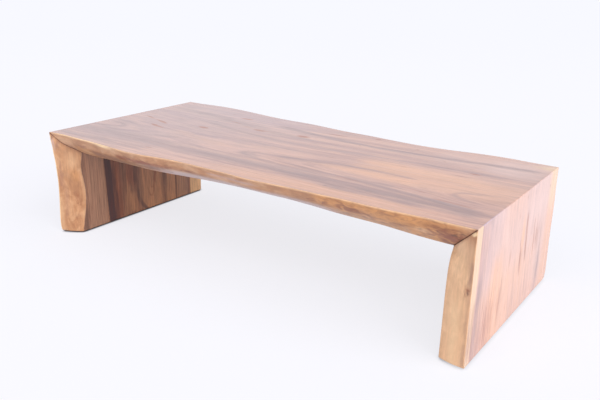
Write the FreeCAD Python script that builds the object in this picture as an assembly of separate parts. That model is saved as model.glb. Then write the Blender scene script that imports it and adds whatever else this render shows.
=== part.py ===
"""Waterfall coffee table made of one live-edge plank folded over two mitred corners.

The frame is in millimetres, +X along the table, +Y to its back and +Z up. The origin is on the
floor under the middle of the table. Every piece is written to parts/ as a STEP file of its own.
"""
import FreeCAD, Part
import os

from FreeCAD import Vector

# Whole table
table_length = 1680.0
table_height = 404.0
slab_width = 789.0
slab_thickness = 80.0

# Loose tenons across each mitre
tenon_count = 6
tenon_width = 50.0
tenon_thickness = 14.0
tenon_length = 60.0
tenon_glue_gap = 0.15
tenon_end_gap = 2.0
tenon_edge_margin = 125.0
tenon_place_share = 0.55

# Glides under the feet
glide_count = 4
glide_diameter = 25.0
glide_height = 4.0
glide_edge_radius = 1.0
glide_edge_margin = 105.0

# Countersunk screws that hold the glides
screw_diameter = 3.5
screw_head_diameter = 7.0
screw_head_height = 2.0
screw_head_recess = 0.8
screw_length = 22.0
screw_tip_length = 4.0
screw_slot_width = 0.9
screw_slot_length = 3.6
screw_slot_depth = 1.0
screw_clearance = 0.1
pilot_end_gap = 1.0

# How far cutting tools run past what they cut, and how softly an edge leaves a mitre
cut_overrun = 20.0
mitre_ease = 6.0

# Live edges, drawn smoothly near their sections. Each row is a section's place along the run, then
# the outer face's edge as a share of half the slab's width, then how far the inner face's edge
# lies further in, as a share of the thickness, and how full the edge is: how far its middle stands
# proud of a straight line from one face to the other, as a share of that undercut. A fullness of
# a quarter makes the edge leave the outer face squarely.
# The run of the top goes from -1 at the left inner corner to 1 at the right one.
top_front_shares = [
    (-1.00, 0.944, 0.88, 0.19),
    (-0.91, 0.955, 0.77, 0.19),
    (-0.78, 0.959, 0.86, 0.19),
    (-0.62, 0.984, 0.99, 0.20),
    (-0.50, 1.012, 1.13, 0.21),
    (-0.38, 0.971, 1.05, 0.21),
    (-0.25, 0.936, 1.07, 0.22),
    (-0.10, 0.944, 1.28, 0.22),
    (0.05, 0.946, 1.34, 0.22),
    (0.16, 0.976, 1.47, 0.22),
    (0.32, 0.939, 1.32, 0.20),
    (0.50, 0.935, 1.08, 0.18),
    (0.63, 0.920, 1.00, 0.16),
    (0.72, 0.935, 1.05, 0.15),
    (0.86, 0.909, 0.73, 0.12),
    (1.00, 0.905, 0.68, 0.10),
]
top_back_shares = [
    (-1.00, 0.974, 0.40, 0.15),
    (-0.80, 1.019, 0.52, 0.17),
    (-0.56, 0.944, 0.60, 0.18),
    (-0.33, 0.888, 0.72, 0.20),
    (-0.20, 0.914, 0.80, 0.20),
    (0.04, 0.835, 0.78, 0.20),
    (0.18, 0.846, 0.72, 0.20),
    (0.43, 0.787, 0.70, 0.18),
    (0.62, 0.815, 0.62, 0.18),
    (0.82, 0.896, 0.55, 0.17),
    (1.00, 0.868, 0.46, 0.15),
]
# The run of a leg goes from 0 at its inner corner to 1 at the foot.
left_leg_front_shares = [
    (0.00, 0.944, 0.88, 0.19),
    (0.10, 0.927, 0.70, 0.17),
    (0.22, 0.925, 0.64, 0.15),
    (0.36, 0.917, 0.72, 0.14),
    (0.55, 0.922, 0.83, 0.16),
    (0.72, 0.932, 0.77, 0.16),
    (0.92, 0.942, 0.62, 0.15),
    (1.00, 0.928, 0.51, 0.12),
]
left_leg_back_shares = [
    (0.00, 0.974, 0.40, 0.15),
    (0.30, 0.972, 0.42, 0.15),
    (0.65, 0.978, 0.44, 0.15),
    (0.93, 0.972, 0.42, 0.15),
    (1.00, 0.957, 0.36, 0.12),
]
right_leg_front_shares = [
    (0.00, 0.905, 0.68, 0.10),
    (0.05, 0.903, 0.48, 0.10),
    (0.12, 0.903, 0.38, 0.10),
    (0.30, 0.903, 0.29, 0.10),
    (0.58, 0.903, 0.26, 0.10),
    (0.93, 0.905, 0.23, 0.18),
    (1.00, 0.893, 0.17, 0.30),
]
right_leg_back_shares = [
    (0.00, 0.868, 0.46, 0.15),
    (0.12, 0.886, 0.44, 0.15),
    (0.25, 0.884, 0.42, 0.15),
    (0.48, 0.880, 0.40, 0.15),
    (0.76, 0.896, 0.42, 0.15),
    (0.94, 0.912, 0.44, 0.15),
    (1.00, 0.880, 0.36, 0.12),
]

# How much further out the left front corner runs to its tip, as a share of half the slab's width
left_front_tip = 0.016

half_length = table_length / 2
half_width = slab_width / 2
inner_corner = half_length - slab_thickness
under_top = table_height - slab_thickness
leg_run = under_top - glide_height

LEFT, RIGHT = -1, 1
FRONT, BACK = -1, 1


def top_point(station, across, depth):
    """Point of the top: along X, across Y and down from the table's upper face."""
    return Vector(station, across, table_height - depth)


def leg_point(side):
    """Return the same for a leg, whose stations are heights and whose depth runs inwards."""
    def point(station, across, depth):
        return Vector(side * (half_length - depth), across, station)
    return point


def edge_poles(row, station, edge_side, point):
    """Three control points of a live edge's section: a parabola run past both faces."""
    _, edge_share, undercut_share, fullness_share = row
    edge = edge_share * half_width
    undercut = undercut_share * slab_thickness
    start = -cut_overrun / slab_thickness
    end = 1 - start
    middle = (start + end) / 2

    def inset(depth_share):
        bow = 4 * fullness_share * depth_share * (1 - depth_share)
        return undercut * (depth_share - bow)

    start_slope = undercut * (1 - 4 * fullness_share * (1 - 2 * start))
    insets = [inset(start), inset(start) + start_slope * (middle - start), inset(end)]
    poles = []
    for depth_share, pole_inset in zip((start, middle, end), insets):
        across = edge_side * (edge - pole_inset)
        poles.append(point(station, across, depth_share * slab_thickness))
    return poles


def live_edge_waste(stations, edge_side, point):
    """Solid beyond one live edge: a surface drawn smoothly near its sections, swept outwards."""
    net = [edge_poles(row, station, edge_side, point) for row, station in stations]
    degree = 3
    spans = len(net) - degree
    multiplicities = [degree + 1] + [1] * (spans - 1) + [degree + 1]
    surface = Part.BSplineSurface()
    surface.buildFromPolesMultsKnots(
        net, multiplicities, [3, 3], list(range(spans + 1)), [0, 1], False, False, degree, 2
    )
    return surface.toShape().extrude(Vector(0, edge_side * slab_width, 0))


def held_end(row, corner, outwards, tip=0.0):
    """Stations that hold one row from an inner corner out over the mitred end.

    A tip flares the edge out towards the end, with the square of the distance from the corner.
    """
    place, edge_share, undercut_share, fullness_share = row
    stations = []
    for step in (slab_thickness + cut_overrun, slab_thickness, mitre_ease, 0, -mitre_ease):
        flare = tip * (step / slab_thickness) ** 2
        held = (place, edge_share + flare, undercut_share, fullness_share)
        stations.append((held, corner + outwards * step))
    return stations


def top_stations(rows, left_tip=0.0):
    """Place the top's rows between the inner corners, and hold its end rows over the mitres."""
    left_end = held_end(rows[0], -inner_corner, LEFT, left_tip)
    placed = [(row, row[0] * inner_corner) for row in rows[1:-1]]
    right_end = held_end(rows[-1], inner_corner, RIGHT)
    return left_end + placed + right_end[::-1]


def leg_stations(rows, tip=0.0):
    """Place a leg's rows from its inner corner down, and hold its first row over the mitre."""
    upper_end = held_end(rows[0], under_top, 1, tip)
    placed = [(row, under_top - row[0] * leg_run) for row in rows[1:]]
    before_last, last = rows[-2], rows[-1]
    steps = cut_overrun / ((last[0] - before_last[0]) * leg_run)
    below_foot = tuple(end + (end - start) * steps for start, end in zip(before_last, last))
    return upper_end + placed + [(below_foot, glide_height - cut_overrun)]


def plank(corners):
    """Extrude an outline in the XZ plane over the slab's whole width and some more."""
    start = -half_width - cut_overrun
    points = [Vector(x, start, z) for x, z in corners]
    outline = Part.makePolygon(points + points[:1])
    return Part.Face(outline).extrude(Vector(0, slab_width + 2 * cut_overrun, 0))


def stadium_prism(width, thickness, length):
    """Bar with rounded ends, centred: width along Y, thickness along X and length along Z."""
    straight = width - thickness
    radius = thickness / 2
    bar = Part.makeBox(thickness, straight, length, Vector(-radius, -straight / 2, -length / 2))
    for end in (FRONT, BACK):
        round_end = Part.makeCylinder(radius, length, Vector(0, end * straight / 2, -length / 2))
        bar = bar.fuse(round_end)
    return bar.removeSplitter()


def evenly_spaced(count, margin):
    """Places across the slab, the outer ones a margin in from its widest edges."""
    reach = half_width - margin
    return [reach * (2 * index / (count - 1) - 1) for index in range(count)]


def on_mitre(shape, side, across):
    """Lay a centred prism square across a mitre, at its place along the joint's diagonal."""
    depth = tenon_place_share * slab_thickness
    place = Vector(side * (half_length - depth), across, table_height - depth)
    turn = FreeCAD.Rotation(Vector(0, 1, 0), -side * 45)
    placed = shape.copy()
    placed.Placement = FreeCAD.Placement(place, turn)
    return placed


def tenons(side):
    """Loose tenons of one mitre, from the front to the back."""
    tenon = stadium_prism(tenon_width, tenon_thickness, tenon_length)
    return [on_mitre(tenon, side, y) for y in evenly_spaced(tenon_count, tenon_edge_margin)]


def mortises(side):
    """Mortises of one mitre: the tenons with glue gaps round them and at their ends."""
    room = stadium_prism(
        tenon_width + 2 * tenon_glue_gap,
        tenon_thickness + 2 * tenon_glue_gap,
        tenon_length + 2 * tenon_end_gap,
    )
    return [on_mitre(room, side, y) for y in evenly_spaced(tenon_count, tenon_edge_margin)]


def glide_places(side):
    """Floor points under the middle line of one foot, from the front to the back."""
    x = side * (half_length - slab_thickness / 2)
    return [Vector(x, y, 0) for y in evenly_spaced(glide_count, glide_edge_margin)]


def screw_envelope(place, clearance):
    """Countersunk head and plain shank, grown by a clearance, without the tip or the slot."""
    head_base = place + Vector(0, 0, screw_head_recess)
    shank_radius = screw_diameter / 2
    head = Part.makeCone(
        screw_head_diameter / 2 + clearance,
        shank_radius + clearance,
        screw_head_height,
        head_base,
    )
    shank = Part.makeCylinder(
        shank_radius + clearance,
        screw_length - screw_head_height - screw_tip_length,
        head_base + Vector(0, 0, screw_head_height),
    )
    return head.fuse(shank)


def screw(place):
    """Wood screw driven upwards, with a cross slot in its sunk head and a pointed tip."""
    head_base = place + Vector(0, 0, screw_head_recess)
    tip = Part.makeCone(
        screw_diameter / 2,
        0,
        screw_tip_length,
        head_base + Vector(0, 0, screw_length - screw_tip_length),
    )
    body = screw_envelope(place, 0).fuse(tip).removeSplitter()
    for length, width in (
        (screw_slot_length, screw_slot_width),
        (screw_slot_width, screw_slot_length),
    ):
        corner = head_base - Vector(length / 2, width / 2, 0)
        body = body.cut(Part.makeBox(length, width, screw_slot_depth, corner))
    return body


def glide(place):
    """Round nylon glide with an eased rim and a countersunk hole."""
    disc = Part.makeCylinder(glide_diameter / 2, glide_height, place)
    floor_rim = [edge for edge in disc.Edges if edge.BoundBox.ZMax < glide_edge_radius]
    disc = disc.makeFillet(glide_edge_radius, floor_rim)
    mouth = Part.makeCylinder(
        screw_head_diameter / 2 + screw_clearance, screw_head_recess, place
    )
    return disc.cut(mouth).cut(screw_envelope(place, screw_clearance))


def pilot_hole(place):
    """Hole in the foot that takes a screw's shank and tip."""
    depth = screw_head_recess + screw_length + pilot_end_gap - glide_height
    start = place + Vector(0, 0, glide_height)
    return Part.makeCylinder(screw_diameter / 2 + screw_clearance, depth, start)


def top_slab():
    """Top plank, mitred at both ends, with both live edges and all mortises."""
    body = plank([
        (-half_length, table_height),
        (half_length, table_height),
        (inner_corner, under_top),
        (-inner_corner, under_top),
    ])
    waste = [
        live_edge_waste(top_stations(top_front_shares, left_front_tip), FRONT, top_point),
        live_edge_waste(top_stations(top_back_shares), BACK, top_point),
    ]
    return body.cut(waste + mortises(LEFT) + mortises(RIGHT))


def leg_slab(side, front_rows, back_rows, front_tip=0.0):
    """Leg plank, mitred at its top, with both live edges, its mortises and its pilot holes."""
    body = plank([
        (side * half_length, table_height),
        (side * half_length, glide_height),
        (side * inner_corner, glide_height),
        (side * inner_corner, under_top),
    ])
    point = leg_point(side)
    waste = [
        live_edge_waste(leg_stations(front_rows, front_tip), FRONT, point),
        live_edge_waste(leg_stations(back_rows), BACK, point),
    ]
    holes = [pilot_hole(place) for place in glide_places(side)]
    return body.cut(waste + mortises(side) + holes)


def table_pieces():
    """Yield every piece with the name of its node."""
    yield "top_slab", top_slab()
    yield "left_leg_slab", leg_slab(
        LEFT, left_leg_front_shares, left_leg_back_shares, left_front_tip
    )
    yield "right_leg_slab", leg_slab(RIGHT, right_leg_front_shares, right_leg_back_shares)
    for side, side_name in ((LEFT, "left"), (RIGHT, "right")):
        for number, tenon in enumerate(tenons(side), start=1):
            yield f"{side_name}_mitre_tenon_{number}", tenon
        for number, place in enumerate(glide_places(side), start=1):
            yield f"{side_name}_glide_{number}", glide(place)
        screws = [screw(place) for place in glide_places(side)]
        yield f"{side_name}_glide_screws", Part.makeCompound(screws)


def main():
    """Write one STEP file for each piece."""
    os.makedirs("parts", exist_ok=True)
    for node, shape in table_pieces():
        shape.exportStep(f"parts/{node}.step")
        box = shape.BoundBox
        print(
            node, len(shape.Solids), shape.isValid(), round(shape.Volume),
            [round(value, 2) for value in (
                box.XMin, box.XMax, box.YMin, box.YMax, box.ZMin, box.ZMax)],
        )


main()
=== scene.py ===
"""Looks of a live-edge waterfall coffee table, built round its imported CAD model.

One suar plank folds over two mitred corners into a top and two legs. Its front and back keep the
tree's own edge. The frame is the CAD model's: metres, +X along the table, +Y to its back, +Z up.
The table's sizes are in millimetres and become metres where a mesh takes them. The studio's
sizes and the finishes' depths of relief are in metres.
"""

import logging
from dataclasses import dataclass
from enum import Enum
from typing import Any, NamedTuple

import bpy
import numpy as np
from mathutils import Matrix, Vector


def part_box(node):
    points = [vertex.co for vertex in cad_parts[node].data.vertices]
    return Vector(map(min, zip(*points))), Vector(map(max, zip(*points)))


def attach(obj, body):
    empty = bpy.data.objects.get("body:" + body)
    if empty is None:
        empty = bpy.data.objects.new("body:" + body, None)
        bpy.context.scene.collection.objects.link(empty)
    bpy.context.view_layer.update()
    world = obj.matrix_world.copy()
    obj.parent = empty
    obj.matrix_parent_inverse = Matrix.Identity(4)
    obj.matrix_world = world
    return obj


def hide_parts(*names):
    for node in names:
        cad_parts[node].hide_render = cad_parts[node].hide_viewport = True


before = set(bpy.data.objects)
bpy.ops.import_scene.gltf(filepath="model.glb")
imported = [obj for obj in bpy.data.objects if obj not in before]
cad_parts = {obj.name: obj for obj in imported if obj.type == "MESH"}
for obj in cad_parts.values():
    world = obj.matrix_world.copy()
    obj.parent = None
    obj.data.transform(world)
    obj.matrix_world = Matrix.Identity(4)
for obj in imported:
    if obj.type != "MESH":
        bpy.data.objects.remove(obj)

MM = 0.001
LOG = logging.getLogger("coffee_table")

Array = np.ndarray
Rows = tuple[tuple[float, ...], ...]
Socket = bpy.types.NodeSocket
Tree = bpy.types.NodeTree


# Small helpers


def linear(hex_colour: str) -> tuple[float, float, float, float]:
    """Turn an sRGB colour into the linear one that a socket takes.

    Args:
        hex_colour: The colour as "#RRGGBB".

    Returns:
        Linear red, green and blue, and an alpha of 1.
    """
    channels = [int(hex_colour[start:start + 2], 16) / 255 for start in (1, 3, 5)]
    red, green, blue = (
        c / 12.92 if c <= 0.04045 else ((c + 0.055) / 1.055) ** 2.4 for c in channels
    )
    return red, green, blue, 1.0


def add_node(
    tree: Tree,
    kind: str,
    settings: dict[str, Any] | None = None,
    inputs: dict[str | int, Any] | None = None,
) -> bpy.types.Node:
    """Add a node with its settings, its values and its links.

    Args:
        tree: The node tree that gets the node.
        kind: Blender's name for the kind of node.
        settings: Values of the node's own properties, by name.
        inputs: What each input takes, by name or number: a value, or a socket to link from.

    Returns:
        The new node.
    """
    node = tree.nodes.new(kind)
    for name, value in (settings or {}).items():
        setattr(node, name, value)
    for name, value in (inputs or {}).items():
        if isinstance(value, Socket):
            tree.links.new(value, node.inputs[name])
        else:
            node.inputs[name].default_value = value
    return node


def smooth_step(value: Array) -> Array:
    """Ease from 0 at a value of 0 to 1 at a value of 1: three squares less two cubes."""
    clipped = np.clip(value, 0.0, 1.0)
    return clipped * clipped * (3.0 - 2.0 * clipped)


def smooth_course(rows: Rows, places: Array, samples: int = 600) -> Array:
    """Read smooth values off given rows.

    The rows are the control points of a uniform cubic B-spline whose end rows are held. Its
    place and its values are sampled together, and each value is then read off at its place.

    Args:
        rows: A place and its values, in rising order of place.
        places: Where the values are wanted.
        samples: How finely the spline is sampled.

    Returns:
        One array for each value of a row, each shaped like places.
    """
    control = np.array(rows, float)
    held = np.concatenate([control[:1]] * 2 + [control] + [control[-1:]] * 2)
    knots = np.arange(len(held))
    steps = np.linspace(1.0, len(held) - 2.0, samples)
    gap = np.abs(steps[:, None] - knots[None, :])
    near = 2.0 / 3.0 - gap**2 + gap**3 / 2.0
    far = np.clip(2.0 - gap, 0.0, None) ** 3 / 6.0
    curve = np.where(gap < 1.0, near, far) @ held
    return np.array([np.interp(places, curve[:, 0], column) for column in curve.T[1:]])


# Live edges


class Side(Enum):
    """The two live edges, by the sign of their Y."""

    FRONT = -1
    BACK = 1


@dataclass(frozen=True)
class HandWork:
    """Low humps that drawknife and sander leave on a live edge.

    The waves turn off the grain by about so many radians, and the lift makes up for those that
    cancel out.
    """

    seed: int
    height: float
    longest: float = 170.0
    shortest: float = 38.0
    waves: int = 16
    turn: float = 0.55
    lift: float = 2.6

    def humps(self, along: Array, across: Array) -> Array:
        """Add up plane waves of random direction and length, longer ones higher.

        Args:
            along: Distance along the plank.
            across: Distance across the edge.

        Returns:
            Height of the humps, positive outwards.
        """
        rng = np.random.default_rng(self.seed)
        lengths = np.geomspace(self.longest, self.shortest, self.waves)
        angles = rng.normal(0.0, self.turn, self.waves)
        phases = rng.uniform(0.0, 2 * np.pi, self.waves)
        weights = lengths / lengths.sum()
        total = np.zeros_like(along)
        for length, angle, phase, weight in zip(lengths, angles, phases, weights):
            run = along * np.cos(angle) + across * np.sin(angle)
            total += weight * np.sin(2 * np.pi * run / length + phase)
        return self.lift * self.height * total


@dataclass(frozen=True)
class LiveEdge:
    """One live edge of a slab, drawn smoothly near given sections.

    A row is a section's place along the slab, the outer face's edge as a share of half the plank's
    width, how far the inner face's edge lies further in as a share of the thickness, how far the
    middle stands proud of a straight line as a share of that, and how crisp its ridge is.
    """

    side: Side
    rows: Rows
    half_width: float
    thickness: float
    work: HandWork
    ridge_round: float = 0.16
    tent_height: float = 1.15

    def across(self, place: Array, depth: Array) -> Array:
        """Work out Y of the edge.

        The edge starts at the outer face's edge and moves in evenly with depth, less a belly
        that is a parabola where the edge is round and a hyperbola's tent where it is crisp.

        Args:
            place: Distance along the slab.
            depth: Distance in from the outer face.

        Returns:
            Y in millimetres, shaped like place.
        """
        reach, undercut, fullness, crisp = smooth_course(self.rows, place)
        share = depth / self.thickness
        centred = 2.0 * share - 1.0
        tent_end = np.hypot(1.0, self.ridge_round)
        tent = (tent_end - np.hypot(centred, self.ridge_round)) / (tent_end - self.ridge_round)
        belly = (1.0 - crisp) * (1.0 - centred**2) + crisp * self.tent_height * tent
        inset = undercut * self.thickness * (share - fullness * belly)
        return self.side.value * (reach * self.half_width - inset)


# Figure of the wood


class Face(Enum):
    """The faces of a slab."""

    OUTER = 0
    INNER = 1
    FRONT = 2
    BACK = 3
    FOOT = 4


class Tone(Enum):
    """Kinds of colour in the wood, named as the mesh attributes that carry them."""

    DARK = "dark_streak"
    GREY = "grey_band"
    WARM = "warm_zone"
    RED = "red_fleck"
    # Sapwood, which also carries painted highlights: on the front edge's upper arris and a spot at the
    # right corner
    SAP_AND_HIGHLIGHT = "sapwood"
    PALE = "pale_bloom"
    # Mauve, which also carries the painted glint along the fold by the front corner
    MAUVE = "mauve_bloom"


@dataclass(frozen=True)
class Streak:
    """A streak or band that follows a smooth course along the plank."""

    tone: Tone
    course: tuple[tuple[float, float], ...]
    width: float
    strength: float = 1.0
    fade: float = 70.0
    flat: float = 2.0
    tail: float = 0.0

    def cover(self, along: Array, across: Array) -> Array:
        """Fall off as a bell, or a flatter one, to both sides of the course and ease at its ends.

        Args:
            along: Distance along the unfolded plank.
            across: Y, or the depth on a live edge.

        Returns:
            How much of the tone each point has.
        """
        (middle,) = smooth_course(self.course, along)
        start, end = self.course[0][0], self.course[-1][0]
        tail = max(self.fade, self.tail)
        ends = smooth_step((along - start) / self.fade) * smooth_step((end - along) / tail)
        return self.strength * ends * np.exp(-np.abs((across - middle) / self.width) ** self.flat)


@dataclass(frozen=True)
class Arch:
    """A growth ring cut flat: a parabola that opens along the plank."""

    tone: Tone
    tip: tuple[float, float]
    length: float
    spread: float
    width: float
    strength: float = 1.0
    arms_from: float = 0.1

    def cover(self, along: Array, across: Array) -> Array:
        """Fall off as a bell with the distance from the parabola, and fade along its arms.

        Args:
            along: Distance along the unfolded plank.
            across: Y, or the depth on a live edge.

        Returns:
            How much of the tone each point has.
        """
        run = (along - self.tip[0]) / self.length
        rise = (across - self.tip[1]) / self.spread
        slope = np.hypot(2.0 * rise / self.spread, 1.0 / self.length)
        distance = (rise**2 - run) / slope
        arms = 1.0 - smooth_step(run - self.arms_from)
        return self.strength * arms * np.exp(-((distance / self.width) ** 2))


@dataclass(frozen=True)
class Fleck:
    """A short mark: an ellipse with a soft rim, slanted off the grain."""

    tone: Tone
    place: tuple[float, float]
    length: float
    width: float
    strength: float = 1.0
    slant: float = 0.0

    def cover(self, along: Array, across: Array) -> Array:
        """Fall off as a bell from the middle of the ellipse.

        Args:
            along: Distance along the unfolded plank.
            across: Y, or the depth on a live edge.

        Returns:
            How much of the tone each point has.
        """
        run, rise = along - self.place[0], across - self.place[1]
        turned = rise - self.slant * run
        return self.strength * np.exp(-((run / self.length) ** 2) - (turned / self.width) ** 2)


Mark = Streak | Arch | Fleck


@dataclass(frozen=True)
class PlankFigure:
    """Where the plank's heart runs and what streaks, bands and flecks it has.

    Places along the plank are unfolded over the corners: a leg goes on where the top ends.
    """

    marks: dict[Face, tuple[Mark, ...]]
    heart_course: Rows = (
        (-1240.0, -128.0, 74.0),
        (-841.0, -130.0, 80.0),
        (-712.0, -132.0, 100.0),
        (-400.0, -140.0, 130.0),
        (-87.0, -142.0, 110.0),
        (300.0, -122.0, 95.0),
        (400.0, -122.0, 90.0),
        (681.0, -128.0, 78.0),
        (850.0, -132.0, 66.0),
        (1240.0, -90.0, 60.0),
    )
    inner_heart: float = 45.0

    def ring_radius(self, along: Array, across: Array, depth: Array, share: Array) -> Array:
        """Distance from the tree's heart, which runs outside the outer face.

        Args:
            along: Distance along the unfolded plank.
            across: Y.
            depth: Distance in from the outer face.
            share: The depth as a share of the thickness.

        Returns:
            The root of the sum of the squares of the two distances across the heart's line.
        """
        outer_heart, heart_depth = smooth_course(self.heart_course, along)
        heart = outer_heart + smooth_step(share) * (self.inner_heart - outer_heart)
        return np.hypot(across - heart, heart_depth + depth)

    def tones(self, along: Array, across: Array, depth: Array, faces: Array) -> dict[Tone, Array]:
        """Lay the marks of each tone over each other, each taking its share of what is still bare.

        Args:
            along: Distance along the unfolded plank.
            across: Y.
            depth: Distance in from the outer face.
            faces: The number of the face that each point is on.

        Returns:
            One array for each tone, from 0 to about 1.
        """
        laid = {tone: np.zeros_like(along) for tone in Tone}
        for face, marks in self.marks.items():
            place = depth if face in (Face.FRONT, Face.BACK) else across
            here = faces == face.value
            for mark in marks:
                cover = np.where(here, mark.cover(along, place), 0.0)
                before = laid[mark.tone]
                laid[mark.tone] = before + cover * (1.0 - np.clip(before, 0.0, 1.0))
        return laid


# Slab meshes


class Ring(NamedTuple):
    """The outline of a slab's section, as shares of its corner and edge points.

    Y of a point is front_corner times the front corner's Y, and so on, plus an inset.
    """

    depth: Array
    corner_depth: Array
    edge_depth: Array
    front_corner: Array
    back_corner: Array
    front_edge: Array
    back_edge: Array
    inset: Array
    face: Array


@dataclass(frozen=True)
class SectionOutline:
    """How finely a slab's section is divided, and how its arrises are eased."""

    thickness: float
    face_points: int
    edge_points: int
    arris: float = 2.6
    arris_points: int = 4

    def ring(self) -> Ring:
        """Go round the section: outer face, back edge, inner face and front edge.

        Each arris is a quadratic curve from the face to the live edge, whose middle control
        point is the sharp corner.

        Returns:
            The closed outline, without its first point again at its end.
        """
        outer = self._face(0.0, np.linspace(0.0, 1.0, self.face_points), Face.OUTER)
        inner = self._face(self.thickness, np.linspace(1.0, 0.0, self.face_points), Face.INNER)
        back = self._edge(Side.BACK)
        front = self._edge(Side.FRONT)[:, ::-1]
        return Ring(*np.concatenate([outer, back, inner, front], axis=1))

    def _face(self, depth: float, share: Array, face: Face) -> Array:
        """Go straight across one face, drawn in by the arris at both its ends.

        Args:
            depth: The face's distance in from the outer face.
            share: How far from the front to the back each point is.
            face: Which face it is.

        Returns:
            The ring's rows for this face.
        """
        same = np.full_like(share, depth)
        none = np.zeros_like(share)
        inset = self.arris * (1.0 - 2.0 * share)
        number = np.full_like(share, face.value)
        return np.array([same, same, same, 1.0 - share, share, none, none, inset, number])

    def _edge(self, side: Side) -> Array:
        """Go down one live edge with both its arrises, from the outer to the inner face.

        Args:
            side: Which live edge it is.

        Returns:
            The ring's rows for this edge.
        """
        bend = np.linspace(0.0, 1.0, self.arris_points + 2)[1:-1]
        near, far = self.arris, self.thickness - self.arris
        run = np.linspace(near, far, self.edge_points)
        edge_share = np.concatenate([bend**2, np.ones_like(run), bend[::-1] ** 2])
        corner_depth = np.concatenate([np.zeros_like(bend), run, np.full_like(bend, self.thickness)])
        edge_depth = np.concatenate([np.full_like(bend, near), run, np.full_like(bend, far)])
        depth = edge_share * edge_depth + (1.0 - edge_share) * corner_depth
        easing = np.concatenate([(1.0 - bend) ** 2, np.zeros_like(run), (1.0 - bend[::-1]) ** 2])
        inset = -side.value * self.arris * easing
        none = np.zeros_like(depth)
        corners, edges = [none, 1.0 - edge_share], [none, edge_share]
        face = Face.BACK
        if side is Side.FRONT:
            corners.reverse()
            edges.reverse()
            face = Face.FRONT
        number = np.full_like(depth, face.value)
        return np.array([depth, corner_depth, edge_depth, *corners, *edges, inset, number])


def runs_between(start: float, end: float, step: float, fine: tuple[float, ...]) -> Array:
    """Set out stations between two ends, even in the middle and finer near both ends.

    Args:
        start: The first station.
        end: The last station.
        step: About how far apart the even ones are.
        fine: Distances of the finer ones from each end.

    Returns:
        The stations in rising order.
    """
    first, last = start + max(fine), end - max(fine)
    count = max(2, round((last - first) / step) + 1)
    middle = np.linspace(first, last, count)[1:-1]
    near = start + np.array(fine)
    return np.concatenate([near, middle, end - np.array(fine[::-1])])


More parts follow.
